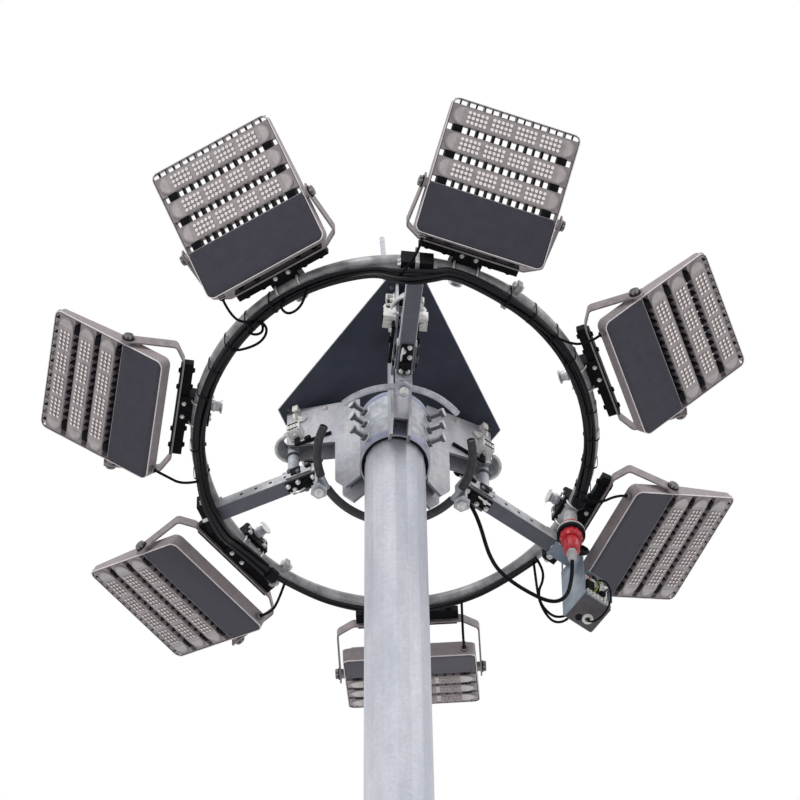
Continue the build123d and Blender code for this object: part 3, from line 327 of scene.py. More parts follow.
lens_light = surface("lens_light", (202, 194, 194), (182, 174, 175), 0.25, 0.0, 45, bump=0.05, coat=0.3)
# the LED points are given a faint glow, painted light; the LEDs themselves are not lit
point_white_painted_glow = surface(
    "point_white_painted_glow", (255, 253, 250), (246, 243, 240), 0.25, 0.0, 200, bump=0.0, coat=0.3, painted_glow=0.3
)
bright_rim_and_glint = surface("bright_rim_and_glint", (246, 240, 241), (222, 215, 217), 0.4, 0.0, 60, bump=0.05)
black_paint = surface("black_paint", (30, 30, 35), (16, 16, 20), 0.6, 0.0, 60, bump=0.15, gleam=0.06)
black_rubber = surface("black_rubber", (34, 34, 38), (19, 19, 23), 0.62, 0.0, 90, bump=0.2, gleam=0.08)
hose_rubber = surface("hose_rubber", (72, 72, 75), (50, 50, 54), 0.6, 0.0, 60, bump=0.15, gleam=0.3)
cable_black = surface("cable_black", (24, 24, 30), (11, 11, 16), 0.68, 0.0, 120, bump=0.1, gleam=0.06)
bundle_black = surface("bundle_black", (27, 27, 32), (14, 14, 18), 0.45, 0.0, 120, bump=0.1, gleam=0.2)
slate = surface("slate", (74, 79, 93), (60, 65, 77), 0.55, 0.0, 9, bump=0.08, gleam=0.2)
off_white = surface("off_white", (250, 249, 246), (224, 223, 219), 0.45, 0.0, 50, bump=0.1)
red_plastic = surface("red_plastic", (205, 34, 52), (178, 22, 40), 0.38, 0.0, 40, bump=0.06, coat=0.2)
grey_plastic = surface("grey_plastic", (196, 195, 196), (160, 160, 164), 0.45, 0.0, 60, bump=0.08)
box_grey = surface(
    "box_grey", (150, 163, 176), (126, 139, 154), 0.42, 0.15, 12, bump=0.06, wear=(176, 186, 196)
)
box_under = surface("box_under", (98, 93, 97), (80, 76, 80), 0.5, 0.1, 30, bump=0.08, gleam=0.3)
green_wire = surface("green_wire", (150, 176, 74), (112, 142, 52), 0.5, 0.0, 80, bump=0.05)

# The solids' finishes, by the record's slot, and by name where a node's own tone differs
FINISHES = {
    "galvanised_steel": galvanised, "shaft_galvanised": shaft_zinc, "bright_bolts": bright_zinc,
    "black_rubber": black_rubber, "black_plastic": black_rubber, "black_paint": black_paint,
    "white_plastic": off_white, "red_plastic": red_plastic, "slate_sheet": slate, "cable_black": cable_black,
    "box_grey": box_grey, "yoke_grey": yoke_paint, "housing_paint": housing_paint, "lens": lens_grey,
}
OWN_FINISHES = {
    "ring_half_far": ring_zinc, "ring_half_near": ring_zinc, "arm_left": arm_zinc_painted_shade, "arm_near": arm_zinc_painted_shade,
    "arm_right": arm_zinc_painted_shade, "set_screws": arm_zinc_painted_shade, "head_brackets": plate_zinc_painted_shade, "bracket_webs": plate_zinc_painted_shade,
    "guide_hoses": hose_rubber, "box_bracket": box_grey,
}
slots = {part["node"]: part["material_slot"] for part in frame["record"]["subparts"]}
for name, node in frame["nodes"].items():
    finish = OWN_FINISHES.get(name, FINISHES[slots[name]])
    if not node.material_slots:
        node.data.materials.append(finish)
    for slot in node.material_slots:
        slot.material = finish


# Camera at the photograph's place: below the crown, looking up. SCALE is in pixels a millimetre at the
# ring's middle, and SHIFT in pixels, in a frame of 800 x 800.
ELEVATION = radians(60.48)
ROLL = radians(0.7)
DISTANCE = 27.0
FRAME = 800
SENSOR = 36.0
SCALE = 0.33415
SHIFT = (5.4, 35.05)
sight = Vector((0, cos(ELEVATION), sin(ELEVATION)))
right = Vector((1, 0, 0))
upward = right.cross(sight)
across = cos(ROLL) * right - sin(ROLL) * upward
high = sin(ROLL) * right + cos(ROLL) * upward
camera = bpy.data.objects.new("camera", bpy.data.cameras.new("camera"))
bpy.context.scene.collection.objects.link(camera)
pose = Matrix((across, high, -sight)).transposed().to_4x4()
pose.translation = Vector((0, 0, RING_Z * MM)) - DISTANCE * sight
camera.matrix_world = pose
camera.data.sensor_width = SENSOR
camera.data.lens = SCALE / MM * DISTANCE / FRAME * SENSOR
camera.data.shift_x = SHIFT[0] / FRAME
camera.data.shift_y = SHIFT[1] / FRAME
camera.data.clip_end = 500.0
bpy.context.scene.camera = camera


# Cords
def spline(name, points, steps):
    """A curve of one open NURBS spline, with the route's points as its control points."""
    curve = bpy.data.curves.new(name, "CURVE")
    curve.dimensions = "3D"
    curve.resolution_u = steps
    line = curve.splines.new("NURBS")
    line.points.add(len(points) - 1)
    for point, place in zip(line.points, points):
        point.co = (*(Vector(place) * MM), 1.0)
    line.order_u = 3
    line.use_endpoint_u = True
    line.resolution_u = steps
    made = bpy.data.objects.new(name, curve)
    bpy.context.scene.collection.objects.link(made)
    return made


def read_line(points, steps=6):
    """The points of the route's smooth line, in millimetres."""
    holder = spline("route", points, steps)
    bpy.context.view_layer.update()
    seen = holder.evaluated_get(bpy.context.evaluated_depsgraph_get())
    mesh = bpy.data.meshes.new_from_object(seen)
    line = [v.co / MM for v in mesh.vertices]
    bpy.data.objects.remove(holder)
    bpy.data.meshes.remove(mesh)
    return line


def round_cord(name, points, diameter, node=None):
    """A free cord on the crown, as a curve with a round section."""
    made = spline(name, points, 8)
    made.data.bevel_depth = diameter / 2 * MM
    made.data.bevel_resolution = 3
    made.data.use_fill_caps = True
    made.data.materials.append(cable_black)
    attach(made, "crown")
    if node:
        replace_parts(made, node)


DIP_REACH = 12.0
DIP_REACH_AFTER = {"left": 12.0, "near": 9.6}
DIP_FLAT = 6.0


def arc_drop(azimuth):
    """How far the cable bundle lies below its usual height, where it passes under an arm."""
    drop = 0.0
    for name, after in DIP_REACH_AFTER.items():
        away = (azimuth - ARMS[name] + 180) % 360 - 180
        reach = after if away > 0 else DIP_REACH
        drop = max(drop, DIP * min(1.0, (reach - abs(away)) / (reach - DIP_FLAT)))
    return drop


def cable_level(azimuth):
    """The height of the cables' middle under the ring."""
    if azimuth % 360 > BUNDLE_START or azimuth % 360 < BUNDLE_END - 360:
        return BUNDLE_Z - arc_drop(azimuth)
    return THIN_Z


LEAD_START = 162.0
LEAD_OUT = 39.0
LEAD_SAG = 14.0


def lead_route(i):
    """A floodlight's lead, from clear of its gland's swing back to the cables under the ring."""
    tilt = radians(TILTS[i])
    turn = radians(LEAD_TURNS[i])
    x = PIVOT_R - LEAD_START * cos(tilt) - GLAND_Z * sin(tilt)
    z = PIVOT_Z - LEAD_START * sin(tilt) + GLAND_Z * cos(tilt)
    end = Vector((RING_R * cos(turn), -RING_R * sin(turn), cable_level(AZIMUTHS[i] - LEAD_TURNS[i])))
    out_x = x - LEAD_OUT * cos(tilt)
    out_z = z - LEAD_OUT * sin(tilt)
    low = min(out_z, end.z) - LEAD_SAG
    middle = ((out_x + end.x) / 2, (GLAND_Y + end.y) / 2, low)
    place = at_azimuth(AZIMUTHS[i])
    return [place @ Vector(point) for point in ((x, GLAND_Y, z), (out_x, GLAND_Y, out_z), middle, end)]


LEAD_LENGTHS = (0.159, 0.144, 0.187, 0.172, 0.176, 0.151, 0.182)
for i, length in enumerate(LEAD_LENGTHS):
    line = read_line(lead_route(i))
    lead = Form()
    lead.tube(line, LEAD_DIAMETER / 2, 12)
    lead = lead.piece(f"lamp_lead_{i + 1}", cable_black, None)
    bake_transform(lead)
    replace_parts(lead, "lamp_leads")

# Loops of spare lead that hang from the bundle
SLACK_LOOPS = (
    (
        (-253.3, -532.9, -48.9), (-261.1, -515.7, -88.0), (-280.3, -495.9, -116.0), (-310.5, -485.0, -126.0),
        (-330.6, -493.9, -108.0), (-331.1, -502.2, -80.0), (-325.2, -492.3, -48.9),
    ),
    (
        (-405.2, -428.9, -48.9), (-377.8, -423.8, -72.0), (-374.1, -407.1, -100.0), (-396.3, -384.9, -118.0),
        (-435.7, -359.4, -104.0), (-467.5, -337.6, -76.0), (-493.3, -323.7, -48.9),
    ),
    (
        (-438.1, -395.1, -48.9), (-422.0, -389.2, -78.0), (-384.5, -405.9, -94.0), (-388.5, -437.3, -74.0),
        (-418.5, -415.9, -48.9),
    ),
)
for k, route in enumerate(SLACK_LOOPS):
    points = [(x, y, RING_Z + z) for x, y, z in route]
    round_cord(f"slack_loop_{k + 1}", points, LEAD_DIAMETER, "lamp_leads")

# The feeders from the bundle's end into the box, and the thin tail from its gland to its open side
FEEDERS = (
    (
        (583.6, 86.8, -45.9), (587.0, 86.0, -105.0), (592.0, 86.0, -190.0), (604.0, 92.0, -250.0),
        (640.0, 104.0, -282.0), (684.0, 118.0, -262.0), (716.0, 100.0, -238.0), (716.0, 51.5, -238.0),
    ),
    (
        (585.6, 72.6, -45.9), (604.0, 68.0, -92.0), (607.0, 74.0, -150.0), (598.0, 88.0, -200.0),
        (612.0, 97.0, -246.0), (650.0, 106.0, -256.0), (690.0, 116.0, -226.0), (720.0, 98.0, -206.0),
        (720.0, 51.5, -206.0),
    ),
)
for k, route in enumerate(FEEDERS):
    points = [at_azimuth(BOX_AZIMUTH) @ Vector(point) for point in route]
    round_cord(f"feeder_{k + 1}", points, LEAD_DIAMETER, "feeder_cables")

TAIL = (
    (726.0, 17.0, -336.0), (726.0, 16.0, -352.0), (738.0, -6.0, -364.0), (748.0, -34.0, -354.0),
    (751.0, -64.0, -324.0), (744.0, -77.0, -286.0), (735.0, -77.0, -250.0), (722.0, -68.0, -224.0),
    (712.0, -50.0, -212.0),
)
round_cord("box_tail_cable", [at_azimuth(BOX_AZIMUTH) @ Vector(point) for point in TAIL], 6.0)

# The plug and connector at the end of the supply cable, turned about a plumb line
COUPLER_AZIMUTH = 27.2
GRIPS = 12
plug_axis = Matrix.Translation(at_azimuth(COUPLER_AZIMUTH) @ Vector((RING_R, 0, 0)))


def coupler_part(name, finish, profiles, count=36):
    form = Form(plug_axis)
    for profile in profiles:
        form.turned(profile, (0, 0, 0), (0, 0, 1), count)
    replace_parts(form.piece(name, finish, "crown"), "power_coupler")


coupler_part("coupler_gland", grey_plastic, [
    ((9, -300), (11, -299), (13.6, -284), (13.9, -278), (13.9, -262), (16, -260), (16, -244), (13.9, -242)),
], 6)
coupler_part("coupler_handle", red_plastic, [
    (
        (14, -244.5), (20, -243), (24.8, -236), (24.8, -200), (23.4, -198.5), (24.8, -197), (25, -184),
        (20, -180),
    ),
    ((24, -183), (31, -182.5), (33, -179), (33, -168), (31.6, -166.5), (33, -165), (33, -151), (28, -149)),
    ((28, -137), (33, -136), (33, -104), (31, -101), (20, -98)),
])
coupler_part("coupler_flange", black_rubber, [
    ((30, -150.5), (41.5, -150), (43.3, -147.5), (43.3, -138.5), (41.5, -136), (30, -135.5)),
    ((20, -101), (24, -99), (24, -94), (20.8, -92)),
])
coupler_part("coupler_band", grey_plastic, [
    ((32, -135.5), (41.5, -135.4), (42.6, -133), (42.6, -127), (41.5, -125), (32, -124.5)),
    ((15, -93), (20.6, -92), (20.6, -30), (18, -23), (8, -21.6)),
])
grips = Form()
for k in range(GRIPS):
    grips.at = plug_axis @ Matrix.Rotation(2 * pi * k / GRIPS, 4, "Z")
    grips.block(31.6, 35.0, -3.2, 3.2, -180, -152, 1.2)
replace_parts(grips.piece("coupler_grips", red_plastic, "crown"), "power_coupler")
# the socket's round cap, swung open behind the flange on its hinge
lid = Form(plug_axis)
cap = ((10, 0), (38, 0), (40.5, 2), (40.5, 10), (38, 12.5), (34, 12.5), (33, 6), (6, 5))
lid.turned(cap, (13, 50, -152), (0.25, -0.93, 0.2), 40)
lid.block(8, 24, 36, 60, -118, -108, 2)
lid.block(6, 20, 30, 44, -142, -112, 2)
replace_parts(lid.piece("coupler_lid", black_rubber, "crown"), "power_coupler")

SUPPLY = (
    (213.0, 160.0, -112.0), (232.0, 172.0, -150.0), (247.0, 185.0, -200.0), (258.0, 190.0, -262.0),
    (267.0, 195.0, -324.0), (279.0, 201.0, -384.0), (300.0, 210.0, -444.0), (343.0, 227.0, -492.0),
    (396.0, 244.0, -528.0), (438.0, 254.0, -552.0), (470.0, 261.0, -551.0), (494.0, 265.0, -526.0),
    (509.0, 268.0, -484.0), (518.0, 269.0, -420.0), (524.0, 269.7, -340.0), (524.8, 269.7, -278.0),
)
supply_points = [(x, y, RING_Z + z) for x, y, z in SUPPLY]
round_cord("supply_cable_run", supply_points, 12.0, "supply_cable")

# The cables tied under the ring: where each stretch starts and ends, and the flat of the dip after it
STRETCHES = (
    (BUNDLE_START, 144.8, (150.8, 162.8)),
    (168.8, 264.8, (270.8, 281.5)),
    (286.4, BUNDLE_END, ()),
)


def bundle_route():
    azimuths = []
    for a, b, dip in STRETCHES:
        count = round((b - a) / BUNDLE_STEP)
        azimuths += [a + (b - a) * k / count for k in range(count + 1)]
        azimuths += dip
    return [at_azimuth(a) @ Vector((RING_R, 0, BUNDLE_Z - arc_drop(a))) for a in azimuths]


# The bundle's bulge by the near arm: cables stray from each other most at BULGE, and all of them swing
# out a little past it
BULGE = 275.0
BULGE_WIDTH = 6.5
SWING = 284.0
SWING_WIDTH = 13.0
SWING_OUT = 16.0
TWIST = 0.35
WOBBLE = 26.0
UNEVEN = 0.12


def strand(line, start, ring, radius, phase, sag, wander):
    """One cable of a bundle, wound beside the bundle's line at a radius of its own."""
    points = []
    for p in line:
        azimuth = start + (degrees(atan2(p.y, p.x)) - start) % 360
        turn = radians(phase + WOBBLE * sin(radians(azimuth * wander)) + TWIST * (azimuth - start))
        away = ring * (1.0 + UNEVEN * sin(radians(azimuth * 5.0 + phase)))
        loose = exp(-((azimuth - BULGE) / BULGE_WIDTH) ** 2)
        swing = SWING_OUT * exp(-((azimuth - SWING) / SWING_WIDTH) ** 2)
        aside = swing + (away * 0.8 * cos(turn) - 0.3 * sag) * loose
        rise = away * sin(turn) - 0.3 * abs(sag) * loose
        out = Vector((p.x, p.y, 0)).normalized()
        points.append(p + out * (away * cos(turn) + aside) + Vector((0, 0, rise)))
    form = Form()
    form.tube(points, radius, 9)
    return form


# Each cable's distance from the line, its radius, where it lies round the line, how far it strays at the
# bulge, and how fast it wanders. The thin cables' own winding is counted from THIN_FROM.
STRANDS = (
    (0.0, 6.6, 0, 2, 2.0), (13.2, 6.4, 0, 0, 3.1), (13.2, 6.6, 60, -10, 2.3), (13.4, 6.2, 120, -14, 2.7),
    (13.2, 6.6, 180, 8, 1.9), (13.3, 6.4, 240, 17, 2.5), (13.2, 6.3, 300, 4, 3.4), (17.0, 3.6, 30, -6, 4.0),
    (17.2, 3.4, 205, 21, 4.6),
)
THIN_STRANDS = ((5.6, 4.9, 90, 0, 2.2), (5.8, 4.7, 210, 0, 3.0), (6.0, 4.6, 330, 0, 2.6))
THIN_START = 44.0
THIN_SPAN = 87.886
THIN_STEPS = 6
THIN_FROM = 40.0
thick_line = read_line(bundle_route(), 6)
thin_route = []
for k in range(THIN_STEPS + 1):
    azimuth = THIN_START + THIN_SPAN * k / THIN_STEPS
    thin_route.append(at_azimuth(azimuth) @ Vector((RING_R, 0, THIN_Z)))
thin_line = read_line(thin_route, 12)
for kind, line, start, strands in (
    ("bundle_cable", thick_line, BUNDLE_START, STRANDS),
    ("thin_cable", thin_line, THIN_FROM, THIN_STRANDS),
):
    for k, values in enumerate(strands):
        cable = strand(line, start, *values).piece(f"{kind}_{k + 1}", bundle_black, "crown")
        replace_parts(cable, "cable_bundle")
ends = Form()
for line in (thick_line, thick_line[::-1]):
    along = (line[3] - line[0]).normalized()
    sleeve = ((8, -7), (15, -4), (20.6, 1), (21.4, 8), (21.0, 26), (19.0, 30))
    ends.turned(sleeve, line[0] + along * 4, along, 28)
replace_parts(ends.piece("bundle_end_sleeves", black_rubber, "crown"), "cable_bundle")

# Cable ties round the tube and the bundle, left out at the dips, by the near arm and at the clamps
TIES_FROM = 134
TIES_TO = 380
TIE_STEP = 9
NO_TIES = (246, 278)
TIE_CLEAR = 5.5
TIE_TOP_R = 22.6
TIE_LOW_R = 22.0
ties = Form()
tie_heads = Form()
for azimuth in range(TIES_FROM, TIES_TO, TIE_STEP):
    near_dip = arc_drop(azimuth) > 0 or NO_TIES[0] < azimuth < NO_TIES[1]
    at_clamp = min(abs((azimuth - a + 180) % 360 - 180) for a in AZIMUTHS) < TIE_CLEAR
    if near_dip or at_clamp:
        continue
    ties.at = at_azimuth(azimuth)
    tie_heads.at = ties.at
    turns = [pi * k / 12 for k in range(13)]
    loop = [(RING_R + TIE_TOP_R * cos(t), 0, TIE_TOP_R * sin(t)) for t in turns]
    loop += [(RING_R + TIE_LOW_R * cos(pi + t), 0, BUNDLE_Z + TIE_LOW_R * sin(pi + t)) for t in turns]
    ties.strap(loop, (0, 1, 0), 5.0, 1.4)
    tie_heads.block(RING_R - 27, RING_R - 21.6, -4.5, 4.5, -28, -19, 1.0)
ties.piece("cable_ties", black_rubber, "crown")
tie_heads.piece("cable_tie_heads", black_rubber, "crown")


# Floodlights
def rounded(x0, x1, half, radius, z, steps=6):
    """A rectangle with four rounded corners."""
    line = []
    for cx, cy, start in (
        (x0 + radius, -half + radius, 180), (x1 - radius, -half + radius, 270),
        (x1 - radius, half - radius, 0), (x0 + radius, half - radius, 90),
    ):
        for k in range(steps + 1):
            turn = radians(start + 90 * k / steps)
            line.append((cx + radius * cos(turn), cy + radius * sin(turn), z))
    return line


def slot_line(middle, half, radius, z, steps=10):
    """A slot along Y with two round ends."""
    line = []
    for way, start in ((1, 0), (-1, 180)):
        for k in range(steps + 1):
            turn = radians(start + 180 * k / steps)
            line.append((middle + radius * cos(turn), way * (half - radius) + radius * sin(turn), z))
    return line


def openings(row):
    """The Y spans of a vent row's openings: eight alike in the outer row, else six and two short ones."""
    if row == 0:
        return [(-198.0 + 50.25 * k, -198.0 + 50.25 * k + 44.25) for k in range(8)]
    spans = [(-150.0 + 51.0 * k, -150.0 + 51.0 * k + 45.0) for k in range(6)]
    return [(-196.0, -178.0)] + spans + [(178.0, 196.0)]


def light_back(x):
    """The height of a module's back, level near the driver and lower to the outer edge."""
    return 26.0 if x < 60 else 26.0 - (x - 60.0) * 18.0 / 209.0


LEDS = 5
LED_PITCH = 13.2
LED_ROW_PITCH = 14.3
LED_GROUPS = 4
LED_GROUP_PITCH = 77.0
LED_POINT = ((5.4, 0), (5.3, 0.4), (1.5, 0.7))
LED_CUP = ((6.3, 0), (6.2, 3.8), (5.6, 3.8), (5.4, 0.3))
FINS = 23
FIN_PITCH = 17.0
FIN_START = -187.0
CLIP_Y = 164.0
COVER_INSET = 3.9
COVER_END = 5.5
COVER_CORNER = 18.0
YOKE_OUTSIDE = HALF_WIDTH + 16.0


def led_points(place, number, body):
    """White points with a faint painted glow, in grey cups, in groups of three rows along each lens strip."""
    points = Form(place)
    cups = Form(place)
    for x0, x1 in STRIPS:
        for group in range(LED_GROUPS):
            for column in range(LEDS):
                y = (group - 1.5) * LED_GROUP_PITCH + (column - 2) * LED_PITCH
                for row in (-1, 0, 1):
                    seat = ((x0 + x1) / 2 + row * LED_ROW_PITCH, y, LENS_FACE)
                    points.turned(LED_POINT, seat, (0, 0, -1), 10)
                    cups.turned(LED_CUP, seat, (0, 0, -1), 10, caps=False)
    points.piece(f"light_points_{number}", point_white_painted_glow, body, 60)
    cups.piece(f"reflector_cups_{number}", lens_grey, body)


def vent_ribs(place, number, body):
    """Black ribs: a jacket round each of the housing's own, and one more halfway in each opening."""
    vents = Form(place)
    for row, (x0, x1) in enumerate(VENTS):
        top = light_back(x1) - 1.5
        half = 2.4 if row else 1.3
        x0, x1 = x0 - 0.2, x1 + 0.2
        spans = openings(row)
        for y0, y1 in spans:
            if y1 - y0 > 30:
                y = (y0 + y1) / 2
                vents.block(x0, x1, y - half, y + half, FACE - 0.4, top - 2, 0.6)
        for (_, y0), (y1, _) in zip(spans, spans[1:]):
            if row:
                vents.block(x0, x1, y0 - 0.4, y1 + 0.4, FACE - 0.8, top, 0.3)
            else:
                y = (y0 + y1) / 2
                vents.block(x0, x1, y - half, y + half, FACE - 0.8, FACE + 1, 0.3)
    vents.piece(f"vent_ribs_{number}", black_paint, body)
    # bright lips inside the outer vent row: painted glints, standing for light seen through its openings
    glint_lips = Form(place)
    x1 = VENTS[0][1]
    for y0, y1 in openings(0):
        glint_lips.block(x1 - 0.7, x1 + 0.3, y0 + 1.2, y1 - 1.2, FACE + 0.4, light_back(x1) - 4, 0.3)
    glint_lips.piece(f"vent_painted_glints_{number}", bright_rim_and_glint, body)


def module_clips(place, number, body):
    """Small hooks over the openings, that lock each module in its frame."""
    hooks = Form(place)
    for x0, x1 in VENTS[1:]:
        for y in (-CLIP_Y, CLIP_Y):
            hooks.block(x0 + 3, x1 - 3, y - 11, y + 11, FACE - 2.4, FACE - 0.6, 0.7)
            knob = ((3.4, 0), (3.4, 1.6), (2.2, 2.2))
            hooks.turned(knob, ((x0 + x1) / 2, y, FACE - 2.4), (0, 0, -1), 12)
    hooks.piece(f"module_clips_{number}", black_paint, body)


def cooling_fins(place, number, body):
    fins = Form(place)
    for x0, x1 in STRIPS:
        low = light_back(x1)
        for k in range(FINS):
            y = FIN_START + k * FIN_PITCH
            fins.block(x0 + 3, x1 - 3, y - 1.3, y + 1.3, low - 6.0, low + 12.0, 0.5)
    fins.piece(f"cooling_fins_{number}", housing_paint, body)


def cover_line(inset, z):
    """The driver cover's outline: rounded at the housing's inner corners, square at the modules."""
    x0 = LIGHT_INNER + COVER_INSET + inset
    x1 = COVER_END - inset
    half = HALF_WIDTH - COVER_INSET - inset
    radius = COVER_CORNER
    line = [(x1, -half, z), (x1, half, z)]
    for cy, start in ((half - radius, 90), (-half + radius, 180)):
        for k in range(7):
            turn = radians(start + 90 * k / 6)
            line.append((x0 + radius + radius * cos(turn), cy + radius * sin(turn), z))
    return line


def driver_cover(place, number, body):
    """The driver's flat cover on the face, inside the housing's bright rim, with its screws."""
    cover = Form(place)
    levels = ((0.0, FACE + 0.5), (0.0, FACE - 0.5), (0.8, FACE - 1.1))
    cover.loft([cover_line(inset, z) for inset, z in levels])
    cover.piece(f"driver_cover_{number}", cover_paint, body)
    screws = Form(place)
    for x in (-132.0, -6.0):
        for y in (-182.0, 0.0, 182.0):
            screws.turned(((3.6, 0), (3.4, 1.0), (1.6, 1.7)), (x, y, FACE - 1.0), (0, 0, -1), 12)
    screws.piece(f"cover_screws_{number}", cover_paint, body)


def face_rims(place, number, body):
    """A bright bead round the face, and a dark seam inside it."""
    for name, finish, low, line in (
        ("face_rim", bright_rim_and_glint, 1.5, (-0.6, -0.4, 2.0, 2.3)),
        ("face_seam", black_paint, 0.7, (2.2, 2.3, 3.9, 4.0)),
    ):
        ring = Form(place)
        rings = []
        for inset, z in zip(line, (FACE + 1.5, FACE - low, FACE - low, FACE + 1.5)):
            x0, x1, half = LIGHT_INNER + inset, LIGHT_OUTER - inset, HALF_WIDTH - inset
            rings.append(rounded(x0, x1, half, LIGHT_CORNER - inset, z, 8))
        ring.loft(rings, closed=True)
        ring.piece(f"{name}_{number}", finish, body)


def lens_frames(place, number, body):
    """A frame round each lens strip, and a paler plate on each of its round ends."""
    plates = Form(place)
    ends = Form(place)
    for x0, x1 in STRIPS:
        middle = (x0 + x1) / 2
        outer = slot_line(middle, 190.6, 28.8, FACE - 0.1)
        top = slot_line(middle, 190.0, 28.2, LENS_FACE - 0.6)
        inner = slot_line(middle, 188.0, 26.4, LENS_FACE - 0.6)
        inside = slot_line(middle, 187.6, 26.0, LENS_FACE + 0.5)
        plates.loft([outer, top, inner, inside], caps=False)
        for way in (-1, 1):
            turns = [radians(180 * k / 12) for k in range(13)]
            half = [(middle + 24.4 * cos(t), way * (161.0 + 24.4 * sin(t))) for t in turns]
            ends.loft([[(x, y, z) for x, y in half] for z in (LENS_FACE + 0.2, LENS_FACE - 0.7)])
    plates.piece(f"lens_frames_{number}", module_grey, body)
    ends.piece(f"lens_ends_{number}", lens_light, body)


def pivot_bolts(place, number, body):
    washers = Form(place)
    heads = Form(place)
    for way in (-1, 1):
        seat = way * YOKE_OUTSIDE
        washers.turned(((18.4, 0), (18.6, 1.6), (18.2, 3.2)), (0, seat - way * 0.1, 0), (0, way, 0), 28)
        heads.bolt((0, seat + way * 3.1, 0), (0, way, 0), 27.6, 9.4, washer=False)
    washers.piece(f"pivot_washers_{number}", black_rubber, body)
    heads.piece(f"pivot_heads_{number}", dark_bolt, body)


def lead_boot(place, number, body):
    """The ribbed rubber boot on the gland, where the lead starts."""
    boot = Form(place)
    ribs = ((10.6, 0), (10.6, 2), (9.4, 2.6), (9.4, 6), (10.6, 7), (10.6, 9), (8.0, 11), (6.2, 14), (5.0, 17))
    boot.turned(ribs, (-146.6, GLAND_Y, GLAND_Z), (-1, 0, 0), 20)
    boot.piece(f"lead_boot_{number}", black_rubber, body)


DETAILS = (
    led_points, vent_ribs, module_clips, cooling_fins, driver_cover, face_rims, lens_frames, pivot_bolts,
    lead_boot,
)
for i in range(len(AZIMUTHS)):
    for detail in DETAILS:
        detail(at_light(i), i + 1, f"light_{i + 1}")

# Pads and bolts of the yokes, the clamps' bolts and the spigots' rims
SPIGOT = (522, 0, 50)
yoke_pads = Form()
yoke_bolts = Form()
clamp_bolts = Form()
spigot_rims = Form()
for azimuth in AZIMUTHS:
    yoke_pads.at = yoke_bolts.at = clamp_bolts.at = spigot_rims.at = at_azimuth(azimuth)
    yoke_pads.block(657.4, 662.0, -150, 150, -9, 31, 1.2)
    for way in (-1, 1):
        for y in (72.0, 128.0):
            yoke_bolts.bolt((662, way * y, 14), (1, 0, 0), 14, 4)
            yoke_bolts.bolt((624.5, way * y, 22), (-1, 0, 0), 14, 5)
        for z in (20.0, 47.0):
            clamp_bolts.bolt((556, way * 31, z), (-1, 0, 0), 11, 5)
        for x in (572, 638):
            clamp_bolts.bolt((x, way * 22, 2), (0, 0, -1), 10, 5)
        for x in (562.3, 617.7):
            clamp_bolts.turned(((9.6, 0), (9.6, 1.2)), (x, way * 37, 62), (0, 0, 1), 16)
    rim = ((16, -1.2), (21.4, -1.4), (22, 0.2), (21.4, 2), (19.5, 3.4), (16, 3))
    spigot_rims.turned(rim, SPIGOT, (1, 0, 0), 28)
    spigot_rims.turned(((15.2, 20), (18, 20.4), (18, 26), (15.2, 26.4)), SPIGOT, (1, 0, 0), 28)
yoke_pads.piece("yoke_pads", black_paint, "crown")
yoke_bolts.piece("yoke_bolts", black_paint, "crown")
clamp_bolts.piece("clamp_bolts", bright_zinc, "crown")
spigot_rims.piece("spigot_rims", bright_zinc, "crown")


def flanks(way, near, far):
    """Two distances from the middle, as lower and upper Y on one side or the other."""
    return sorted((way * near, way * far))


# The arms: splice plates, carriages and collars at the docking posts, saddles' straps, and bolts
arm_plates = Form()
arm_bolts = Form()
carriages = Form()
saddle_straps = Form()
saddle_bolts = Form()
post_collars = Form()
foot_nuts = Form()
for azimuth in ARMS.values():
    for form in (arm_plates, arm_bolts, carriages, saddle_straps, saddle_bolts, post_collars, foot_nuts):
        form.at = at_azimuth(azimuth)
    for way in (-1, 1):
        arm_plates.block(262, 344, *flanks(way, ARM_FLANK, ARM_PLATE_FACE), -70, -23, 1.2)
        for x, z in ((274, -36), (302, -58), (330, -36)):
            arm_bolts.bolt((x, way * ARM_PLATE_FACE, z), (0, way, 0), 13, 7)
        for z in (-30.0, -56.0):
            saddle_bolts.bolt((606, way * 48.5, z), (0, way, 0), 16, 8)
        saddle_bolts.bolt((600, way * 30, -71.2), (0, 0, -1), 16, 8)
        for y in (16, -16):
            arm_bolts.bolt((POST_R + way * 18, y, ARM_TOP), (0, 0, 1), 10, 5)
    carriages.block(256, 352, -18, 18, -79, ARM_UNDER, 1.5)
    carriages.block(296, 326, -35, 35, -64, -26, 1.5)
    carriages.block(262, 278, -37, 37, -50, -30, 1.5)
    carriages.turned(((10, 0), (13, 1), (13, 14), (9, 16)), (286, 0, -79), (0, 0, -1), 20)
    for x, y in ((264, 10), (264, -10), (312, 11), (330, -9), (345, 8)):
        saddle_bolts.bolt((x, y, -79), (0, 0, -1), 11, 7)
    saddle_bolts.tube([(300, -14, -82), (322, -15, -90), (346, -12, -84)], 3.0, 8)
    saddle_straps.block(583, 630, -6, 6, -73.6, ARM_UNDER, 0.8)
    saddle_straps.block(628.2, 630.6, -6, 6, -73, -4, 0.8)
    saddle_straps.block(566, 630, -6, 6, 21.4, 23.8, 0.8)
    collar = ((17.2, 0), (24, 0.6), (24, 9), (20, 12), (17.2, 12))
    post_collars.turned(collar, (POST_R, 0, ARM_TOP), (0, 0, 1), 28)
    post_collars.turned(((17.2, 0), (22, 0.6), (22, 7), (17.2, 8)), (POST_R, 0, 92), (0, 0, 1), 28)
    foot_nuts.turned(((12, -1), (14.5, 0.5), (14.5, 4), (11, 6)), (247.5, 0, -170), (0, 0, -1), 24)
arm_plates.piece("arm_plates", arm_zinc_painted_shade, "crown")
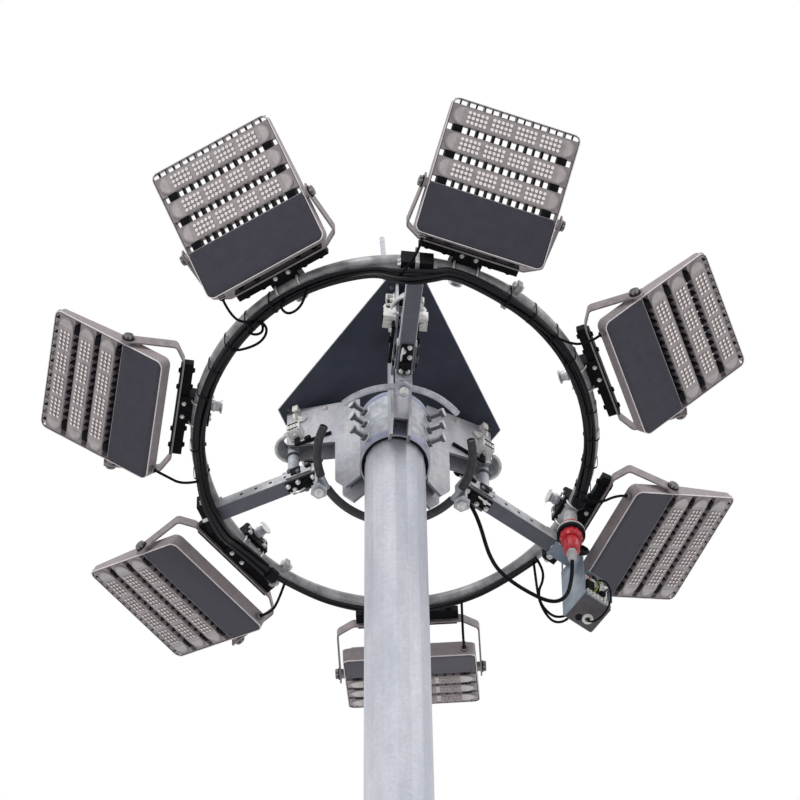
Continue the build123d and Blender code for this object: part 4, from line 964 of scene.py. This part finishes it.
arm_bolts.piece("arm_bolts", dark_bolt, "crown")
saddle_straps.piece("saddle_straps", bright_zinc, "crown")
saddle_bolts.piece("saddle_bolts", bright_zinc, "crown")
post_collars.piece("post_collars", dark_bolt, "crown")
carriages.piece("latch_carriages", black_paint, "crown")
foot_nuts.piece("foot_nuts", bright_zinc, "crown")

# The junction box: terminals, relays and wires in its open side, and its screws, underside and glands
TERMINALS = 6
TERMINAL_PITCH = 13.2
inside = at_azimuth(BOX_AZIMUTH)
panel = Form(inside)
panel.block(671, 759, -41, -38.5, -322, -196, 0.8)
panel.piece("terminal_panel", off_white, "crown")
strips = Form(inside)
for k in range(TERMINALS):
    x = 676 + k * TERMINAL_PITCH
    strips.block(x, x + 11.6, -50.5, -41, -316, -290, 0.9)
strips.block(744, 757, -49, -41, -226, -206, 1.5)
strips.piece("terminal_strips", off_white, "crown")
screws = Form(inside)
for k in range(TERMINALS):
    x = 681.8 + k * TERMINAL_PITCH
    for z in (-309.0, -297.0):
        screws.turned(((3.0, 0), (3.0, 1.2), (1.2, 1.5)), (x, -50.5, z), (0, -1, 0), 10)
for x in (672, 758):
    for z in (-325, -191):
        screws.turned(((3.4, 0), (3.4, 1.4), (1.6, 2.0)), (x, BOX_FRONT, z), (0, -1, 0), 10)
screws.piece("terminal_screws", dark_bolt, "crown")
relay = Form(inside)
relay.block(676, 704, -51, -41, -284, -234, 1.5)
relay.turned(((11, 0), (11, 8), (8, 11)), (736, -41, -262), (0, -1, 0), 20)
relay.block(712, 724, -49, -41, -284, -246, 1.2)
relay.block(676, 757, -45, -41, -289, -286, 0.6)
relay.piece("box_relays", black_paint, "crown")
under = Form(inside)
under.block(667, 763, -49.5, 49.5, -331.4, -329.6, 0.6)
under.piece("box_underside", box_under, "crown")
glands = Form(inside)
bottom_gland = ((8, -2), (8.5, 5), (12, 7), (16, 6), (17.5, 3), (17.5, 0), (16, -2))
glands.turned(bottom_gland, (726, 17, -331.4), (0, 0, -1), 30)
side_gland = ((8, 0), (11, 0.5), (11, 8), (8.6, 10), (7.6, 20), (5.2, 24))
for x, z in ((716, -238), (720, -206)):
    glands.turned(side_gland, (x, 51.3, z), (0, 1, 0), 20)
glands.piece("box_glands", off_white, "crown")
holes = Form(inside)
holes.turned(((11.5, 0), (11.5, 1.0), (9, 1.4)), (702, 28, -331.2), (0, 0, -1), 24)
holes.piece("box_blank_hole", black_rubber, "crown")
WIRES = (
    (green_wire, 2.4, (
        (742, -44, -200), (726, -56, -202), (706, -56, -222), (710, -56, -252), (708, -54, -280),
        (700, -50, -292),
    )),
    (cable_black, 2.4, (
        (756, -44, -214), (752, -57, -230), (742, -58, -250), (732, -56, -276), (728, -51, -292),
    )),
    (red_plastic, 1.9, ((690, -44, -200), (684, -54, -208), (680, -57, -222), (684, -53, -236))),
    (cable_black, 2.4, (
        (704, -44, -198), (694, -56, -206), (700, -58, -226), (718, -56, -240), (720, -52, -250),
    )),
    (off_white, 1.9, (
        (726, -44, -198), (716, -57, -208), (726, -58, -228), (746, -56, -262), (744, -51, -292),
    )),
)
for k, (finish, radius, route) in enumerate(WIRES):
    wire = Form(inside)
    wire.tube(read_line(route, 10), radius, 8)
    wire.piece(f"box_wire_{k + 1}", finish, "crown")

# The head: straps, hooks and levers on the cheek plates, funnel lips, and bolts of the plates and the hood.
# The black rod along each cheek's bottom edge is painted shadow, a dark bar where the cheek's shade falls.
straps = Form()
levers_and_shadow_rods = Form()
head_bolts = Form()
latch_slots = Form()
hood_bolts = Form()
horn_lips = Form()
for azimuth in ARMS.values():
    for form in (straps, levers_and_shadow_rods, head_bolts, latch_slots, hood_bolts, horn_lips):
        form.at = at_azimuth(azimuth)
    for way in (-1, 1):
        straps.block(294, 312, *flanks(way, CHEEK_FACE, STRAP_FACE), 212, 318, 1.2)
        straps.block(294, 312, *flanks(way, 36, 58), 300, 306, 1.2)
        straps.block(294, 312, *flanks(way, 53, 58), 276, 305, 1.2)
        hook = ((47, 222), (58, 226), (62, 238), (58, 250), (47, 254), (36, 254))
        straps.tube([(LATCH_R, way * y, z) for y, z in hook], 4.2, 10)
        for z in (282, 232):
            head_bolts.bolt((LATCH_R, way * STRAP_FACE, z), (0, way, 0), 14, 7)
        head_bolts.bolt((212, way * 31, 262), (0, way, 0), 14, 7)
        for z in (176, 147):
            latch_slots.block(288, 322, *flanks(way, 67.2, 69.0), z, z + 5, 0.5)
        head_bolts.bolt((305, way * 48, 141), (0, 0, -1), 14, 8)
        hood_bolts.bolt((326, way * 42, HOOD_BASE), (0, 0, -1), 13, 6)
        levers_and_shadow_rods.block(296, 312, *flanks(way, CHEEK_FACE, 41), 102, 140, 1.5)
        # a black rod along the cheek's bottom edge: painted shadow of the cheek
        levers_and_shadow_rods.tube([(x, way * SHADOW_ROD_Y, z) for x, z in ((192, 96), (250, 99), (306, 102))], 5.5, 10)
        levers_and_shadow_rods.turned(((9, 0), (11, 1), (11, 7), (7, 9)), (266, way * 40, 104), (0, way, 0), 18)
    # a rolled lip round each half funnel's mouth
    turns = [radians(-90 + 180 * k / 18) for k in range(19)]
    horn_lips.tube([(340 + 46 * cos(t), 46 * sin(t), 160) for t in turns], 4.6, 10)
# the set screws' outer ends, and a ring round each where it enters the sleeve
screw_ends = Form()
for azimuth in (217.0, -23.0, 97.0):
    screw_ends.at = at_azimuth(azimuth)
    for z in (25.0, -48.0, -126.0):
        screw_ends.bolt((159.8, 0, z), (1, 0, 0), 25, 3, washer=False)
        ring = ((13.2, 0.2), (15.2, 0.2), (15.2, 2.6), (13.2, 3.2))
        screw_ends.turned(ring, (104.0, 0, z), (1, 0, 0), 24)
screw_ends.piece("screw_ends", off_white, "mast")
straps.piece("latch_hooks", off_white, "mast")
levers_and_shadow_rods.piece("latch_levers_and_painted_shadow", black_paint, "mast")
head_bolts.piece("head_bolts", bright_zinc, "mast")
latch_slots.piece("latch_slots", black_rubber, "mast")
hood_bolts.piece("hood_bolts", dark_bolt, "mast")
horn_lips.piece("horn_lips", off_white, "mast")
# the hood's edge, a bright strip round its three corners, and two bands round the sleeve
HOOD_CORNER = (359.0, 56.5)
outline = []
for azimuth in sorted(ARMS.values()):
    for way in (-1, 1):
        corner = Vector((HOOD_CORNER[0], way * HOOD_CORNER[1], 0))
        outline.append(at_azimuth(azimuth, 0) @ corner)
edge = Form(at_azimuth(0))
rings = []
for grow, z in ((-1.5, 321.6), (0.9, 321.6), (0.9, 325.4), (-1.5, 325.4)):
    rings.append([(p.x + grow * p.normalized().x, p.y + grow * p.normalized().y, z) for p in outline])
edge.loft(rings, closed=True)
edge.piece("hood_edge", bright_zinc, "mast")
bands = Form(at_azimuth(0))
for band in (
    ((103.9, -184), (105.4, -183.4), (105.4, -150), (103.9, -149.4)),
    ((103.9, 60), (105.2, 60.6), (105.2, 81), (103.9, 82)),
):
    bands.turned(band, (0, 0, 0), (0, 0, 1), 72, caps=False)
bands.piece("sleeve_bands", band_zinc, "mast")

# The foot: anchor bolts with their nuts, door hinges, locks and an earthing bolt
ANCHORS = 8
ANCHOR_R = 260
DOOR = at_azimuth(-101.25, 750.0)
anchors = Form()
for k in range(ANCHORS):
    anchors.at = at_azimuth(360 / ANCHORS * (k + 0.5), 0)
    anchors.turned(((15, 0.5), (15, 96), (13.2, 99)), (ANCHOR_R, 0, 0), (0, 0, 1), 20)
    anchors.turned(((28, 0), (28, 4.4), (27, 5)), (ANCHOR_R, 0, 30), (0, 0, 1), 28)
    anchors.bolt((ANCHOR_R, 0, 35), (0, 0, 1), 46, 24, washer=False)
    anchors.bolt((ANCHOR_R, 0, 59.5), (0, 0, 1), 46, 16, washer=False)
anchors.piece("anchor_bolts", galvanised, "mast")
door = Form(DOOR)
for z in (-205.0, 205.0):
    for k in range(3):
        knuckle = ((6.0, 0.4), (7, 1.2), (7, 21.6), (6.0, 22.4))
        door.turned(knuckle, (209, -103, z - 33 + 22 * k), (0, 0, 1), 16)
    door.block(198, 210.6, -101, -80, z - 30, z + 30, 1.2)
door.piece("door_hinges", galvanised, "mast")
lock = Form(DOOR)
for z in (-230.0, 230.0):
    lock.turned(((14.5, 0), (16, 0.8), (16, 3.4), (14.5, 4.4)), (199.6, 0, z), (1, 0, 0), 24)
    lock.turned(((5.6, 0), (5.6, 2.6), (4.4, 3.2)), (203.8, 0, z), (1, 0, 0), 3)
lock.piece("door_locks", bright_zinc, "mast")
earth = Form(at_azimuth(-56.25, 240.0))
earth.block(195, 203, -16, 16, -20, 20, 1.2)
earth.bolt((203, 0, 0), (1, 0, 0), 19, 10)
earth.piece("earthing_bolt", bright_zinc, "mast")

# Floor, world and lamps
floor_mesh = bpy.data.meshes.new("floor")
floor_mesh.from_pydata([(-6, -6, 0), (6, -6, 0), (6, 6, 0), (-6, 6, 0)], [], [(0, 1, 2, 3)])
floor = bpy.data.objects.new("floor", floor_mesh)
bpy.context.scene.collection.objects.link(floor)
pale = bpy.data.materials.new("pale_floor")
pale.use_nodes = True
shader = pale.node_tree.nodes["Principled BSDF"]
shader.inputs["Base Color"].default_value = (0.78, 0.78, 0.78, 1)
shader.inputs["Roughness"].default_value = 0.9
floor_mesh.materials.append(pale)

# The world is white where the camera sees it, also through glass or in gloss, and dimmer as a light
WHITE = (1, 1, 1, 1)
world = bpy.data.worlds.new("studio")
bpy.context.scene.world = world
world.use_nodes = True
nodes = world.node_tree.nodes
links = world.node_tree.links
nodes.clear()
soft = add_node(nodes, "ShaderNodeBackground", {"Color": WHITE, "Strength": 0.55})
plain = add_node(nodes, "ShaderNodeBackground", {"Color": WHITE, "Strength": 1.0})
path = nodes.new("ShaderNodeLightPath")
seen = nodes.new("ShaderNodeMath")
seen.operation = "MAXIMUM"
links.new(path.outputs["Is Camera Ray"], seen.inputs[0])
links.new(path.outputs["Is Transmission Ray"], seen.inputs[1])
either = nodes.new("ShaderNodeMath")
either.operation = "MAXIMUM"
links.new(seen.outputs[0], either.inputs[0])
links.new(path.outputs["Is Glossy Ray"], either.inputs[1])
choose = nodes.new("ShaderNodeMixShader")
links.new(either.outputs[0], choose.inputs[0])
links.new(soft.outputs[0], choose.inputs[1])
links.new(plain.outputs[0], choose.inputs[2])
out = nodes.new("ShaderNodeOutputWorld")
links.new(choose.outputs[0], out.inputs[0])


def sun(name, direction, strength, angle):
    lamp = bpy.data.lights.new(name, "SUN")
    lamp.energy = strength
    lamp.angle = radians(angle)
    made = bpy.data.objects.new(name, lamp)
    made.rotation_euler = Vector(direction).to_track_quat("-Z", "Y").to_euler()
    bpy.context.scene.collection.objects.link(made)


sun("key", (0.4, 0.85, -0.3), 1.5, 14)
sun("fill", (-0.7, 0.3, -0.5), 0.6, 60)

bpy.context.scene.view_settings.view_transform = "Standard"
